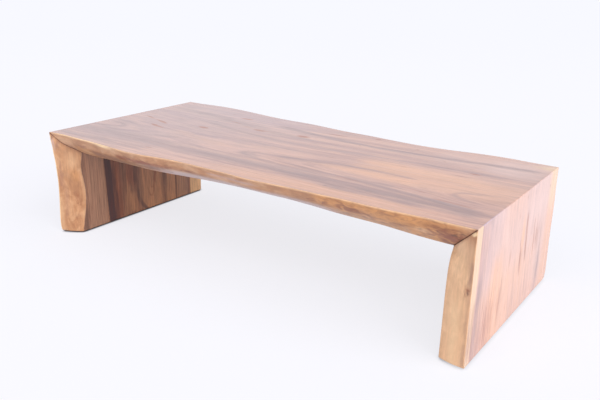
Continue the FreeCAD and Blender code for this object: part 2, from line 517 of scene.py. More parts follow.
@dataclass
class Slab:
    """One slab of the table: a grid of stations along it by points round its section."""

    node: str
    front: LiveEdge
    back: LiveEdge
    outline: SectionOutline
    figure: PlankFigure
    half_length: float
    height: float
    station_step: float
    corner_ease: float = 1.6
    groove_depth: float = 1.1
    groove_width: float = 2.4
    humps_from: float = 30.0
    fine_ends: tuple[float, ...] = (0.0, 0.5, 1.0, 1.6, 2.4, 4.0, 8.0)

    def edge_y(self, edge: LiveEdge, place: Array, depth: Array) -> Array:
        """Y of one live edge at a place along this slab."""
        return edge.across(place, depth)

    def section(self, place: Array, from_mitre: Array, unfolded: Array) -> Array:
        """Work out Y round the section at every station.

        Y is the ring's inset plus its shares of the corner and edge points. Humps of hand work
        lie on the live edges only. They fade out where two slabs meet, in a fine groove.

        Args:
            place: Each point's place along the slab.
            from_mitre: Each point's distance from the nearest mitre, along the slab.
            unfolded: Each point's place along the unfolded plank.

        Returns:
            Y of each point.
        """
        ring = self.outline.ring()
        across = np.zeros_like(place) + ring.inset
        for edge, corner_share, edge_share in (
            (self.front, ring.front_corner, ring.front_edge),
            (self.back, ring.back_corner, ring.back_edge),
        ):
            corner_depth = np.broadcast_to(ring.corner_depth, place.shape)
            edge_depth = np.broadcast_to(ring.edge_depth, place.shape)
            humps = edge.work.humps(unfolded, edge_depth) * smooth_step(from_mitre / self.humps_from)
            groove = self.groove_depth * np.clip(1.0 - from_mitre / self.groove_width, 0.0, 1.0)
            proud = edge.side.value * (humps - groove) * edge_share
            across = across + corner_share * self.edge_y(edge, place, corner_depth)
            across = across + edge_share * self.edge_y(edge, place, edge_depth) + proud
        return across

    def eased_corner(self, from_mitre: Array, depth: Array) -> tuple[Array, Array]:
        """Bend the outer face round the folded corner as an eighth of a circle.

        Args:
            from_mitre: Distance from the mitre, along the slab.
            depth: Distance in from the outer face.

        Returns:
            How far each point moves back along the slab, and how far in from the outer face.
        """
        ease = self.corner_ease
        run = np.clip(from_mitre / ease, 0.0, 1.0)
        angle = (1.0 - run) * np.pi / 4
        here = np.clip(1.0 - depth / ease, 0.0, 1.0)
        back = ease * (1.0 - run) - ease * np.sin(angle)
        inwards = ease * (1.0 - np.cos(angle))
        return here * back, here * inwards

    def grid(self) -> tuple[Array, dict[str, Array]]:
        """Points of the grid in millimetres, and the distances that the figure needs."""
        raise NotImplementedError

    def build(self, finishes: list[bpy.types.Material]) -> bpy.types.Object:
        """Make the slab's mesh with its attributes, and set it in the node's place.

        Args:
            finishes: Materials of the outer face, the inner face, the live edges and end grain.

        Returns:
            The slab, riding on the table's only body.
        """
        points, places = self.grid()
        stations, around = points.shape[:2]
        index = np.arange(stations * around).reshape(stations, around)
        following = np.roll(index, -1, axis=1)
        quads = np.stack([index[:-1], index[1:], following[1:], following[:-1]], axis=-1)
        quads = quads.reshape(-1, 4)
        caps, cap_points, cap_places = self.caps(points, places, index)
        vertices = np.concatenate([points.reshape(-1, 3), cap_points])
        faces = quads.tolist() + caps
        if signed_volume(vertices, quads) < 0.0:
            faces = [face[::-1] for face in faces]
        mesh = bpy.data.meshes.new(self.node + "_dressed")
        mesh.from_pydata((vertices * MM).tolist(), [], faces)
        for finish in finishes:
            mesh.materials.append(finish)
        mesh.polygons.foreach_set("use_smooth", np.ones(len(mesh.polygons), bool))
        flat = {
            name: np.concatenate([values.reshape(-1), cap_places[name]])
            for name, values in places.items()
        }
        self._write_attributes(mesh, flat)
        self._part_finishes(mesh, flat["face"])
        mesh.update()
        piece = bpy.data.objects.new(self.node + "_live_edge", mesh)
        bpy.context.scene.collection.objects.link(piece)
        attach(piece, "root")
        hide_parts(self.node)
        return piece

    def caps(
        self, points: Array, places: dict[str, Array], index: Array
    ) -> tuple[list[list[int]], Array, dict[str, Array]]:
        """Close both ends with one face each, as the mitres hide them.

        Args:
            points: Points of the grid.
            places: Distances that the figure needs, for each point.
            index: Vertex numbers of the grid.

        Returns:
            The faces, the points they add, and those points' distances.
        """
        faces = [index[0].tolist(), index[-1][::-1].tolist()]
        return faces, np.zeros((0, 3)), {name: np.zeros(0) for name in places}

    @staticmethod
    def _part_finishes(mesh: bpy.types.Mesh, faces: Array) -> None:
        """Give each polygon the finish of the face that its first corners lie on.

        A polygon between a flat face and a live edge is part of the arris, so the live edge's
        higher number wins. The finishes are numbered outer, inner, live edge, end grain.

        Args:
            mesh: The slab's mesh.
            faces: The number of the face that each vertex is on.
        """
        starts = np.zeros(len(mesh.polygons), np.int32)
        mesh.polygons.foreach_get("loop_start", starts)
        corners = np.zeros(len(mesh.loops), np.int32)
        mesh.loops.foreach_get("vertex_index", corners)
        around = np.stack([faces[corners[starts + step]] for step in range(3)])
        finish = np.array([0, 1, 2, 2, 3])[around.max(axis=0).round().astype(int)]
        mesh.polygons.foreach_set("material_index", finish.astype(np.int32))

    def _write_attributes(self, mesh: bpy.types.Mesh, places: dict[str, Array]) -> None:
        """Write the grain's coordinates, in metres, and the figure's tones to the mesh.

        Args:
            mesh: The slab's mesh.
            places: Distances that the figure needs, for each vertex.
        """
        along, across = places["along"], places["across"]
        depth, faces = places["depth"], places["face"]
        share = depth / self.outline.thickness
        radius = self.figure.ring_radius(along, across, depth, share)
        vectors = {"rings": (along, radius, across), "fibre": (along, across, depth)}
        for name, parts in vectors.items():
            layer = mesh.attributes.new(name, "FLOAT_VECTOR", "POINT")
            layer.data.foreach_set("vector", (np.stack(parts, axis=1) * MM).ravel())
        tones = self.figure.tones(along, across, depth, faces)
        values = {tone.value: cover for tone, cover in tones.items()}
        values["joint"] = places["joint"]
        for name, numbers in values.items():
            layer = mesh.attributes.new(name, "FLOAT", "POINT")
            layer.data.foreach_set("value", numbers.astype(np.float32))


def signed_volume(vertices: Array, quads: Array) -> float:
    """Add up the tetrahedra between the origin and the halves of the quads.

    Args:
        vertices: Points of the mesh.
        quads: Four vertex numbers for each quad.

    Returns:
        Six times the volume inside, positive where the quads point outwards.
    """
    first, second, third, fourth = (vertices[quads[:, corner]] for corner in range(4))
    halves = np.cross(first, second) * third + np.cross(first, third) * fourth
    return float(halves.sum())


@dataclass
class TopSlab(Slab):
    """The long top, mitred at both ends."""

    def grid(self) -> tuple[Array, dict[str, Array]]:
        """Lay stations along X, drawn together with depth so that both ends are 45 degree cuts.

        Returns:
            Points of the grid, and for each its place on the unfolded plank, its Y, depth, face
            and distance from the mitre.
        """
        ring = self.outline.ring()
        spaced = runs_between(-self.half_length, self.half_length, self.station_step, self.fine_ends)
        shape = (len(spaced), len(ring.depth))
        depth = np.broadcast_to(ring.depth, shape)
        place = spaced[:, None] * (1.0 - depth / self.half_length)
        from_mitre = self.half_length - depth - np.abs(place)
        across = self.section(place, from_mitre, place)
        back, inwards = self.eased_corner(from_mitre, depth)
        x = place - np.sign(place) * back
        points = np.stack([x, across, self.height - depth - inwards], axis=-1)
        face = np.broadcast_to(ring.face, shape)
        places = {
            "along": place, "across": across, "depth": depth, "face": face,
            "joint": from_mitre * MM,
        }
        return points, places


@dataclass
class LegSlab(Slab):
    """A leg, mitred at its upper end and eased round its foot."""

    hand: int = 1
    foot: float = 4.0
    mitre_from: tuple[LiveEdge, LiveEdge] | None = None
    blend_run: float = 70.0
    foot_round: float = 3.5
    foot_ease: float = 2.2
    rim_gain: float = 1.6
    rim_shift: float = 0.5
    cap_rows: int = 12

    def edge_y(self, edge: LiveEdge, place: Array, depth: Array) -> Array:
        """Y of one live edge, led into the top's edge at the mitre.

        The gap between the two edges on the mitre is taken up there and eased out below it.

        Args:
            edge: The leg's front or back edge.
            place: Distance down from the top's upper face.
            depth: Distance in from the outer face.

        Returns:
            Y, shaped like place.
        """
        own = edge.across(place, depth)
        top_edge = self.mitre_from[0 if edge.side is Side.FRONT else 1]
        on_top = top_edge.across(self.hand * (self.half_length - depth), depth)
        gap = on_top - edge.across(depth, depth)
        return own + gap * (1.0 - smooth_step((place - depth) / self.blend_run))

    def grid(self) -> tuple[Array, dict[str, Array]]:
        """Lay stations down from the mitre, drawn together with depth so that the end is mitred.

        The foot's rim is a quarter circle: wide on the live edges and narrow on the faces. The
        wide one's pull grows smoothly from the middle of the slab out to its edges.

        Returns:
            Points of the grid, and for each its place on the unfolded plank, its Y, depth, face
            and distance from the mitre.
        """
        ring = self.outline.ring()
        length = self.height - self.foot
        spaced = runs_between(0.0, length, self.station_step, self.fine_ends)
        shape = (len(spaced), len(ring.depth))
        depth = np.broadcast_to(ring.depth, shape)
        place = depth + spaced[:, None] * (1.0 - depth / length)
        from_mitre = place - depth
        unfolded = self.hand * (self.half_length + place)
        across = self.section(place, from_mitre, unfolded)
        back, inwards = self.eased_corner(from_mitre, depth)
        above_foot = length - place
        rim = self._quarter(above_foot, self.foot_round)
        middle = across.mean(axis=1, keepdims=True)
        reach = np.abs(across - middle)
        pull = rim * smooth_step(reach / reach.max() * self.rim_gain - self.rim_shift)
        ease = self._quarter(above_foot, self.foot_ease)
        centred = 1.0 - 2.0 * depth / self.outline.thickness
        eased_depth = depth + inwards + ease * centred
        x = self.hand * (self.half_length - eased_depth)
        y = across - np.sign(across - middle) * pull
        points = np.stack([x, y, self.height - place - back], axis=-1)
        face = np.broadcast_to(ring.face, shape)
        places = {
            "along": unfolded, "across": across, "depth": depth, "face": face,
            "joint": from_mitre * MM,
        }
        return points, places

    @staticmethod
    def _quarter(height: Array, radius: float) -> Array:
        """How far a quarter circle draws a side in at a height above the end."""
        short = np.clip(1.0 - height / radius, 0.0, 1.0)
        return radius * (1.0 - np.sqrt(1.0 - short**2))

    def caps(
        self, points: Array, places: dict[str, Array], index: Array
    ) -> tuple[list[list[int]], Array, dict[str, Array]]:
        """Close the mitre with one face, and the foot with rows from the outer to the inner face.

        The rows of the foot are straight lines between the two faces' points, so it is a grid
        that can carry end grain. The live edges' points close its two short sides.

        Args:
            points: Points of the grid.
            places: Distances that the figure needs, for each point.
            index: Vertex numbers of the grid.

        Returns:
            The faces, the points they add, and those points' distances.
        """
        count, edge = self.outline.face_points, self.outline.edge_points
        edge += 2 * self.outline.arris_points
        foot = index[-1]
        outer = np.arange(count)
        inner = (count + edge) + np.arange(count)[::-1]
        new = index.size + np.arange(self.cap_rows * count).reshape(self.cap_rows, count)
        net = np.concatenate([foot[outer][None], new, foot[inner][None]])
        quads = np.stack([net[:-1, :-1], net[:-1, 1:], net[1:, 1:], net[1:, :-1]], axis=-1)
        back_rim = foot[count - 1:count + edge + 1]
        front_rim = np.concatenate([foot[2 * count + edge - 1:], foot[:1]])
        faces = [index[0].tolist()]
        faces += quads.reshape(-1, 4)[:, ::-1].tolist()
        faces.append(back_rim[::-1].tolist() + new[:, -1].tolist())
        faces.append(front_rim[::-1].tolist() + new[::-1, 0].tolist())
        shares = np.linspace(0.0, 1.0, self.cap_rows + 2)[1:-1]

        def filled(ends: Array) -> Array:
            """Go in straight lines from the outer face's points to the inner face's."""
            rows = np.multiply.outer(1.0 - shares, ends[outer]) + np.multiply.outer(shares, ends[inner])
            return rows.reshape(-1, *ends.shape[1:])

        added = {name: filled(values[-1]) for name, values in places.items()}
        added["face"] = np.full(new.size, Face.FOOT.value)
        return faces, filled(points[-1]), added


# Finishes


def empty_material(name: str) -> tuple[bpy.types.Material, Tree]:
    """Start a material.

    Args:
        name: What the material is called.

    Returns:
        The material, and its node tree without nodes.
    """
    material = bpy.data.materials.new(name)
    material.use_nodes = True
    material.node_tree.nodes.clear()
    return material, material.node_tree


@dataclass(frozen=True)
class Grain:
    """A noise drawn out along the fibre: its cycles per metre and how rough it is."""

    along: float
    outwards: float
    across: float
    detail: float = 2.0
    roughness: float = 0.55
    distortion: float = 0.0

    def drawn(self, tree: Tree, place: Socket) -> Socket:
        """Stretch the place and read the noise there.

        Args:
            tree: The node tree.
            place: The place on the plank, in metres.

        Returns:
            The noise, about 0.25 to 0.75.
        """
        stretched = add_node(tree, "ShaderNodeVectorMath", {"operation": "MULTIPLY"}, {
            0: place, 1: (self.along, self.outwards, self.across),
        })
        return add_node(tree, "ShaderNodeTexNoise", None, {
            "Vector": stretched.outputs["Vector"], "Scale": 1.0, "Detail": self.detail,
            "Roughness": self.roughness, "Distortion": self.distortion,
        }).outputs["Fac"]


@dataclass(frozen=True)
class SuarFinish:
    """What the finishes of suar share: the plank's coordinates, its marks and its lacquer."""

    name: str
    coat: float
    coat_roughness: float

    def begin(self) -> tuple[bpy.types.Material, Tree, dict[str, Socket]]:
        """Start the material and read the slab's attributes.

        Returns:
            The material, its tree and the attributes by name.
        """
        material, tree = empty_material(self.name)
        outputs = {"rings": "Vector", "fibre": "Vector", "joint": "Fac"}
        outputs.update({tone.value: "Fac" for tone in Tone})
        reads = {
            name: add_node(tree, "ShaderNodeAttribute", {"attribute_name": name}).outputs[output]
            for name, output in outputs.items()
        }
        return material, tree, reads

    @staticmethod
    def frayed(tree: Tree, mask: Socket, grain: Socket, fray: float, low: float, high: float) -> Socket:
        """Fray a mark's rim with the grain, so that it looks grown.

        The noise is 0.5 in the middle, so it is shifted to work both ways, and it does nothing
        where the mark is absent.

        Args:
            tree: The node tree.
            mask: How much of the mark there is.
            grain: The noise that frays it.
            fray: How strongly the noise works.
            low: What leaves nothing of the mark.
            high: What shows it in full.

        Returns:
            The share of the mark's tint.
        """
        shifted = add_node(tree, "ShaderNodeMath", {"operation": "MULTIPLY_ADD"}, {
            0: grain, 1: 1.6 * fray, 2: -0.8 * fray,
        })
        both = add_node(tree, "ShaderNodeMath", {"operation": "ADD"}, {
            0: shifted.outputs["Value"], 1: mask,
        })
        present = add_node(tree, "ShaderNodeMath", {"operation": "MULTIPLY", "use_clamp": True}, {
            0: mask, 1: 4.0,
        })
        share = add_node(tree, "ShaderNodeMapRange", {"interpolation_type": "SMOOTHSTEP"}, {
            "Value": both.outputs["Value"], "From Min": low, "From Max": high,
        })
        return add_node(tree, "ShaderNodeMath", {"operation": "MULTIPLY"}, {
            0: share.outputs["Result"], 1: present.outputs["Value"],
        }).outputs["Value"]

    def lacquered(
        self, tree: Tree, ground: str, tints: list[tuple[Socket, str]], darkening: Socket,
        height: Socket, relief: float, roughness: Socket,
    ) -> None:
        """Lay the tints over the ground, darken them with the grain and put them under lacquer.

        Args:
            tree: The node tree.
            ground: The wood's colour before the tints.
            tints: For each tint its share and its colour, the lowest first.
            darkening: What the colour is multiplied by.
            height: The relief's height, 1 for its whole depth.
            relief: The relief's depth in metres.
            roughness: How matt the wood under the lacquer is.
        """
        colour = linear(ground)
        for share, tint in tints:
            colour = add_node(tree, "ShaderNodeMix", {"data_type": "RGBA"}, {
                0: share, 6: colour, 7: linear(tint),
            }).outputs[2]
        darkened = add_node(tree, "ShaderNodeVectorMath", {"operation": "SCALE"}, {
            0: colour, "Scale": darkening,
        })
        bump = add_node(tree, "ShaderNodeBump", None, {
            "Strength": 0.3, "Distance": relief, "Height": height,
        })
        shader = add_node(tree, "ShaderNodeBsdfPrincipled", None, {
            "Base Color": darkened.outputs["Vector"], "Roughness": roughness, "IOR": 1.5,
            "Coat Weight": self.coat, "Coat Roughness": self.coat_roughness, "Coat IOR": 1.5,
            "Normal": bump.outputs["Normal"],
        })
        add_node(tree, "ShaderNodeOutputMaterial", None, {"Surface": shader.outputs["BSDF"]})


@dataclass(frozen=True)
class SandedSuar(SuarFinish):
    """Suar heartwood, sanded and lacquered to a satin.

    The eye gets long rosy and mauve-brown bands that follow the growth rings, fine lines and pores
    drawn out along the fibre, and a soft sheen that whitens at a low angle.
    """

    name: str = "suar_wood_sanded_satin_lacquer"
    coat: float = 1.0
    coat_roughness: float = 0.22
    heart_pale: str = "#CB9780"
    heart_brown: str = "#AE7E70"
    ring_brown: str = "#8C5B4D"
    grey_brown: str = "#8C6864"
    mauve: str = "#B09AA8"
    warm_tan: str = "#DCA27C"
    pale_rose: str = "#D3AFA6"
    streak_black: str = "#55352E"
    red_brown: str = "#984A1C"
    sap_cream: str = "#D9B591"
    contrast: float = 0.8
    line_depth: float = 0.16

    def material(self) -> bpy.types.Material:
        """Build the node material.

        Returns:
            The material, which reads the slabs' own attributes.
        """
        material, tree, reads = self.begin()

        # Rings wander by about 5 mm over a hand's breadth
        wander = add_node(tree, "ShaderNodeTexNoise", None, {
            "Vector": reads["fibre"], "Scale": 7.0, "Detail": 2.0,
        })
        bent = add_node(tree, "ShaderNodeVectorMath", {"operation": "MULTIPLY_ADD"}, {
            0: wander.outputs["Color"], 1: (0.0, 0.010, 0.010), 2: reads["rings"],
        }).outputs["Vector"]

        # Across the grain: bands about 45 mm wide, streaks about 12 mm, lines about 4 mm and
        # strokes about 7 mm wide and a hand's breadth long. Pores are about 0.3 mm across; they
        # are drawn 1.5 mm across and 30 mm long to show
        bands = Grain(0.9, 22.0, 2.2).drawn(tree, bent)
        streaks = Grain(2.2, 84.0, 6.0, detail=3.0).drawn(tree, bent)
        lines = Grain(4.0, 240.0, 20.0, detail=3.0, roughness=0.65).drawn(tree, bent)
        strokes = Grain(9.0, 150.0, 150.0, detail=3.0, roughness=0.7).drawn(tree, reads["fibre"])
        figure = Grain(7.0, 36.0, 36.0, detail=4.0, roughness=0.68).drawn(tree, reads["fibre"])
        pore_noise = Grain(33.0, 640.0, 640.0, detail=1.0).drawn(tree, reads["fibre"])
        pores, banded, ringed, fine, rosy, tan, lined, stroked, matt = (
            add_node(tree, "ShaderNodeMapRange", {"interpolation_type": "SMOOTHSTEP"}, {
                "Value": value, "From Min": low, "From Max": high, "To Min": start, "To Max": end,
            }).outputs["Result"]
            for value, low, high, start, end in (
                (pore_noise, 0.58, 0.72, 0.0, 1.0),
                (bands, 0.36, 0.64, 0.0, 1.0),
                (streaks, 0.50, 0.70, 0.0, 0.6 * self.contrast),
                (lines, 0.54, 0.66, 0.0, 0.25 * self.contrast),
                (figure, 0.50, 0.66, 0.0, 0.34 * self.contrast),
                (figure, 0.34, 0.50, 0.34 * self.contrast, 0.0),
                (lines, 0.30, 0.70, 1.0 + 0.4 * self.line_depth, 1.0 - 0.6 * self.line_depth),
                (strokes, 0.32, 0.68, 1.0 + 0.5 * self.line_depth, 1.0 - 0.6 * self.line_depth),
                (streaks, 0.3, 0.7, 0.40, 0.52),
            )
        )
        tints = [
            (banded, self.heart_brown), (ringed, self.ring_brown), (fine, self.ring_brown),
            (rosy, self.heart_brown), (tan, self.warm_tan),
        ]
        for tone, tint, grain, fray, low, high in (
            (Tone.MAUVE, self.mauve, streaks, 0.30, 0.05, 0.95),
            (Tone.PALE, self.pale_rose, streaks, 0.35, 0.05, 0.95),
            (Tone.WARM, self.warm_tan, streaks, 0.30, 0.05, 0.95),
            (Tone.GREY, self.grey_brown, figure, 0.50, 0.05, 0.95),
            (Tone.SAP_AND_HIGHLIGHT, self.sap_cream, streaks, 0.35, 0.20, 0.75),
            (Tone.RED, self.red_brown, strokes, 0.55, 0.12, 0.75),
            (Tone.DARK, self.streak_black, figure, 0.60, 0.10, 1.00),
        ):
            tints.append((self.frayed(tree, reads[tone.value], grain, fray, low, high), tint))

        grained = add_node(tree, "ShaderNodeMath", {"operation": "MULTIPLY"}, {
            0: lined, 1: stroked,
        }).outputs["Value"]
        darkening = add_node(tree, "ShaderNodeMath", {"operation": "MULTIPLY_ADD"}, {
            0: pores, 1: -0.20, 2: grained,
        }).outputs["Value"]
        height = add_node(tree, "ShaderNodeMath", {"operation": "MULTIPLY_ADD"}, {
            0: pores, 1: -0.6, 2: lines,
        }).outputs["Value"]
        self.lacquered(tree, self.heart_pale, tints, darkening, height, 0.0003, matt)
        return material


@dataclass(frozen=True)
class ScrapedSuarEdge(SuarFinish):
    """The suar plank's live edge, barked, scraped by hand and thinly lacquered.

    The eye gets golden sapwood, clouded with umber, its fibres running along the plank, a darker
    burr and small cracks, low humps that the scraper left, and a dark hair where the slabs join.
    """

    name: str = "suar_wood_scraped_live_edge"
    coat: float = 0.35
    coat_roughness: float = 0.32
    gold: str = "#AF7D56"
    honey: str = "#DAB28A"
    umber: str = "#8C5E45"
    burr_orange: str = "#C58B52"
    mauve_brown: str = "#8E6858"
    streak_black: str = "#3E241B"
    rosy_grey: str = "#B99C96"
    red_brown: str = "#85492D"
    cream: str = "#EBCB9E"
    joint_brown: str = "#7A4632"
    joint_dark: str = "#4A2416"

    def material(self) -> bpy.types.Material:
        """Build the node material.

        Returns:
            The material, which reads the slabs' own attributes.
        """
        material, tree, reads = self.begin()

        # Clouds 30 to 60 mm long, mottles of 15 mm, fibre lines 3 mm wide, scraper facets of
        # about 40 mm and specks of 7 to 14 mm
        clouds, mottles, fibres, facets, specks = (
            grain.drawn(tree, reads["fibre"]) for grain in (
                Grain(16.0, 24.0, 26.0, detail=4.0, roughness=0.6, distortion=0.6),
                Grain(30.0, 55.0, 55.0, detail=3.0, distortion=0.8),
                Grain(9.0, 260.0, 260.0, detail=3.0, roughness=0.6),
                Grain(11.0, 24.0, 24.0, detail=1.0),
                Grain(70.0, 150.0, 150.0, detail=3.0),
            )
        )
        pale_cloud, dark_cloud, by_joint, at_joint, lined, mottled, matt = (
            add_node(tree, "ShaderNodeMapRange", {"interpolation_type": "SMOOTHSTEP"}, {
                "Value": value, "From Min": low, "From Max": high, "To Min": start, "To Max": end,
            }).outputs["Result"]
            for value, low, high, start, end in (
                (clouds, 0.34, 0.54, 0.34, 0.0),
                (clouds, 0.48, 0.72, 0.0, 0.42),
                (reads["joint"], 0.0010, 0.0140, 0.35, 0.0),
                (reads["joint"], 0.0008, 0.0026, 0.85, 0.0),
                (fibres, 0.30, 0.70, 1.06, 0.90),
                (mottles, 0.30, 0.70, 1.05, 0.93),
                (clouds, 0.3, 0.7, 0.42, 0.55),
            )
        )
        tints = [(pale_cloud, self.honey), (dark_cloud, self.umber)]
        for tone, tint, grain, fray, low, high in (
            (Tone.PALE, self.burr_orange, clouds, 0.4, 0.05, 0.95),
            (Tone.WARM, self.honey, clouds, 0.5, 0.05, 0.95),
            # Rosy grey low on the front edge is partly a painted reflection of the pale floor
            (Tone.GREY, self.rosy_grey, fibres, 0.4, 0.05, 0.95),
            (Tone.MAUVE, self.mauve_brown, clouds, 0.4, 0.05, 0.95),
            (Tone.SAP_AND_HIGHLIGHT, self.cream, fibres, 0.3, 0.05, 0.90),
            (Tone.RED, self.red_brown, mottles, 0.9, 0.10, 0.90),
            (Tone.DARK, self.streak_black, specks, 1.2, 0.15, 0.95),
        ):
            tints.append((self.frayed(tree, reads[tone.value], grain, fray, low, high), tint))
        tints += [(by_joint, self.joint_brown), (at_joint, self.joint_dark)]

        darkening = add_node(tree, "ShaderNodeMath", {"operation": "MULTIPLY"}, {
            0: lined, 1: mottled,
        }).outputs["Value"]
        height = add_node(tree, "ShaderNodeMath", {"operation": "MULTIPLY_ADD"}, {
            0: facets, 1: 8.0, 2: fibres,
        }).outputs["Value"]
        self.lacquered(tree, self.gold, tints, darkening, height, 0.0004, matt)
        return material


@dataclass(frozen=True)
class SawnSuarEnd(SuarFinish):
    """Suar end grain on the feet, sawn and sealed: dark, dull, with rings and open pores."""

    name: str = "suar_wood_sawn_end_grain"
    coat: float = 0.0
    coat_roughness: float = 0.5
    late_brown: str = "#5E3C2E"
    early_brown: str = "#8A6049"
    pore_dark: str = "#3A241B"

    def material(self) -> bpy.types.Material:
        """Build the node material: rings by their distance from the heart, 6 mm apart, and pores.

        Returns:
            The material, which reads the slabs' own attributes.
        """
        material, tree, reads = self.begin()
        rings = Grain(0.0, 160.0, 3.0, detail=2.0).drawn(tree, reads["rings"])
        pore_noise = Grain(0.0, 700.0, 700.0, detail=1.0).drawn(tree, reads["fibre"])
        pores, late, lined, matt = (
            add_node(tree, "ShaderNodeMapRange", {"interpolation_type": "SMOOTHSTEP"}, {
                "Value": value, "From Min": low, "From Max": high, "To Min": start, "To Max": end,
            }).outputs["Result"]
            for value, low, high, start, end in (
                (pore_noise, 0.60, 0.68, 0.0, 1.0),
                (rings, 0.42, 0.60, 0.0, 1.0),
                (rings, 0.3, 0.7, 1.05, 0.92),
                (pore_noise, 0.3, 0.7, 0.62, 0.72),
            )
        )
        tints = [(late, self.late_brown), (pores, self.pore_dark)]
        self.lacquered(tree, self.early_brown, tints, lined, pores, 0.0004, matt)
        return material


@dataclass(frozen=True)
class PlanedBeech:
    """Beech, planed: an even pale brown with short darker flecks and a dull face."""

    name: str = "beech_planed"
    pale: str = "#D9B48C"
    fleck: str = "#A87C55"

    def material(self) -> bpy.types.Material:
        """Build the material on Object coordinates, its flecks 1 mm by 12 mm.

        Returns:
            The material.
        """
        material, tree = empty_material(self.name)
        place = add_node(tree, "ShaderNodeTexCoord").outputs["Object"]
        flecks = Grain(900.0, 80.0, 900.0, roughness=0.5).drawn(tree, place)
        share = add_node(tree, "ShaderNodeMapRange", {"interpolation_type": "SMOOTHSTEP"}, {
            "Value": flecks, "From Min": 0.52, "From Max": 0.75,
        })
        colour = add_node(tree, "ShaderNodeMix", {"data_type": "RGBA"}, {
            0: share.outputs["Result"], 6: linear(self.pale), 7: linear(self.fleck),
        })
        bump = add_node(tree, "ShaderNodeBump", None, {
            "Strength": 0.2, "Distance": 0.0002, "Height": flecks,
        })
        shader = add_node(tree, "ShaderNodeBsdfPrincipled", None, {
            "Base Color": colour.outputs[2], "Roughness": 0.62, "IOR": 1.5,
            "Normal": bump.outputs["Normal"],
        })
        add_node(tree, "ShaderNodeOutputMaterial", None, {"Surface": shader.outputs["BSDF"]})
        return material


@dataclass(frozen=True)
class MouldedNylon:
    """Nylon, moulded: near black, with its mould's fine spark-eroded texture and a low sheen."""

    name: str = "nylon_moulded_black"
    body: str = "#2A2A2B"
    scuffed: str = "#4A4947"

    def material(self) -> bpy.types.Material:
        """Build the material on Object coordinates, its mould texture 0.6 mm across.

        Returns:
            The material.
        """
        material, tree = empty_material(self.name)
        place = add_node(tree, "ShaderNodeTexCoord").outputs["Object"]
        texture, scuffs = (
            add_node(tree, "ShaderNodeTexNoise", None, {
                "Vector": place, "Scale": scale, "Detail": detail,
            }).outputs["Fac"]
            for scale, detail in ((1600.0, 2.0), (180.0, 4.0))
        )
        share = add_node(tree, "ShaderNodeMapRange", {"interpolation_type": "SMOOTHSTEP"}, {
            "Value": scuffs, "From Min": 0.52, "From Max": 0.80,
        })
        colour = add_node(tree, "ShaderNodeMix", {"data_type": "RGBA"}, {
            0: share.outputs["Result"], 6: linear(self.body), 7: linear(self.scuffed),
        })
        bump = add_node(tree, "ShaderNodeBump", None, {
            "Strength": 0.3, "Distance": 0.0001, "Height": texture,
        })
        shader = add_node(tree, "ShaderNodeBsdfPrincipled", None, {
            "Base Color": colour.outputs[2], "Roughness": 0.55, "IOR": 1.53,
            "Normal": bump.outputs["Normal"],
        })
        add_node(tree, "ShaderNodeOutputMaterial", None, {"Surface": shader.outputs["BSDF"]})
        return material


@dataclass(frozen=True)
class ZincPlatedSteel:
    """Steel screws, zinc plated: a cool grey metal with faint yellowish clouds and drive marks."""

    name: str = "steel_zinc_plated"
    zinc: str = "#B9BBBD"
    cloud: str = "#A8A290"

    def material(self) -> bpy.types.Material:
        """Build the material on Object coordinates, its clouds 2 mm across.

        Returns:
            The material.
        """
        material, tree = empty_material(self.name)
        place = add_node(tree, "ShaderNodeTexCoord").outputs["Object"]
        clouds = add_node(tree, "ShaderNodeTexNoise", None, {
            "Vector": place, "Scale": 500.0, "Detail": 3.0,
        }).outputs["Fac"]
        colour = add_node(tree, "ShaderNodeMix", {"data_type": "RGBA"}, {
            0: clouds, 6: linear(self.zinc), 7: linear(self.cloud),
        })
        gloss = add_node(tree, "ShaderNodeMapRange", None, {
            "Value": clouds, "To Min": 0.28, "To Max": 0.48,
        })
        shader = add_node(tree, "ShaderNodeBsdfPrincipled", None, {
            "Base Color": colour.outputs[2], "Metallic": 1.0,
            "Roughness": gloss.outputs["Result"],
        })
        add_node(tree, "ShaderNodeOutputMaterial", None, {"Surface": shader.outputs["BSDF"]})
        return material


# The table


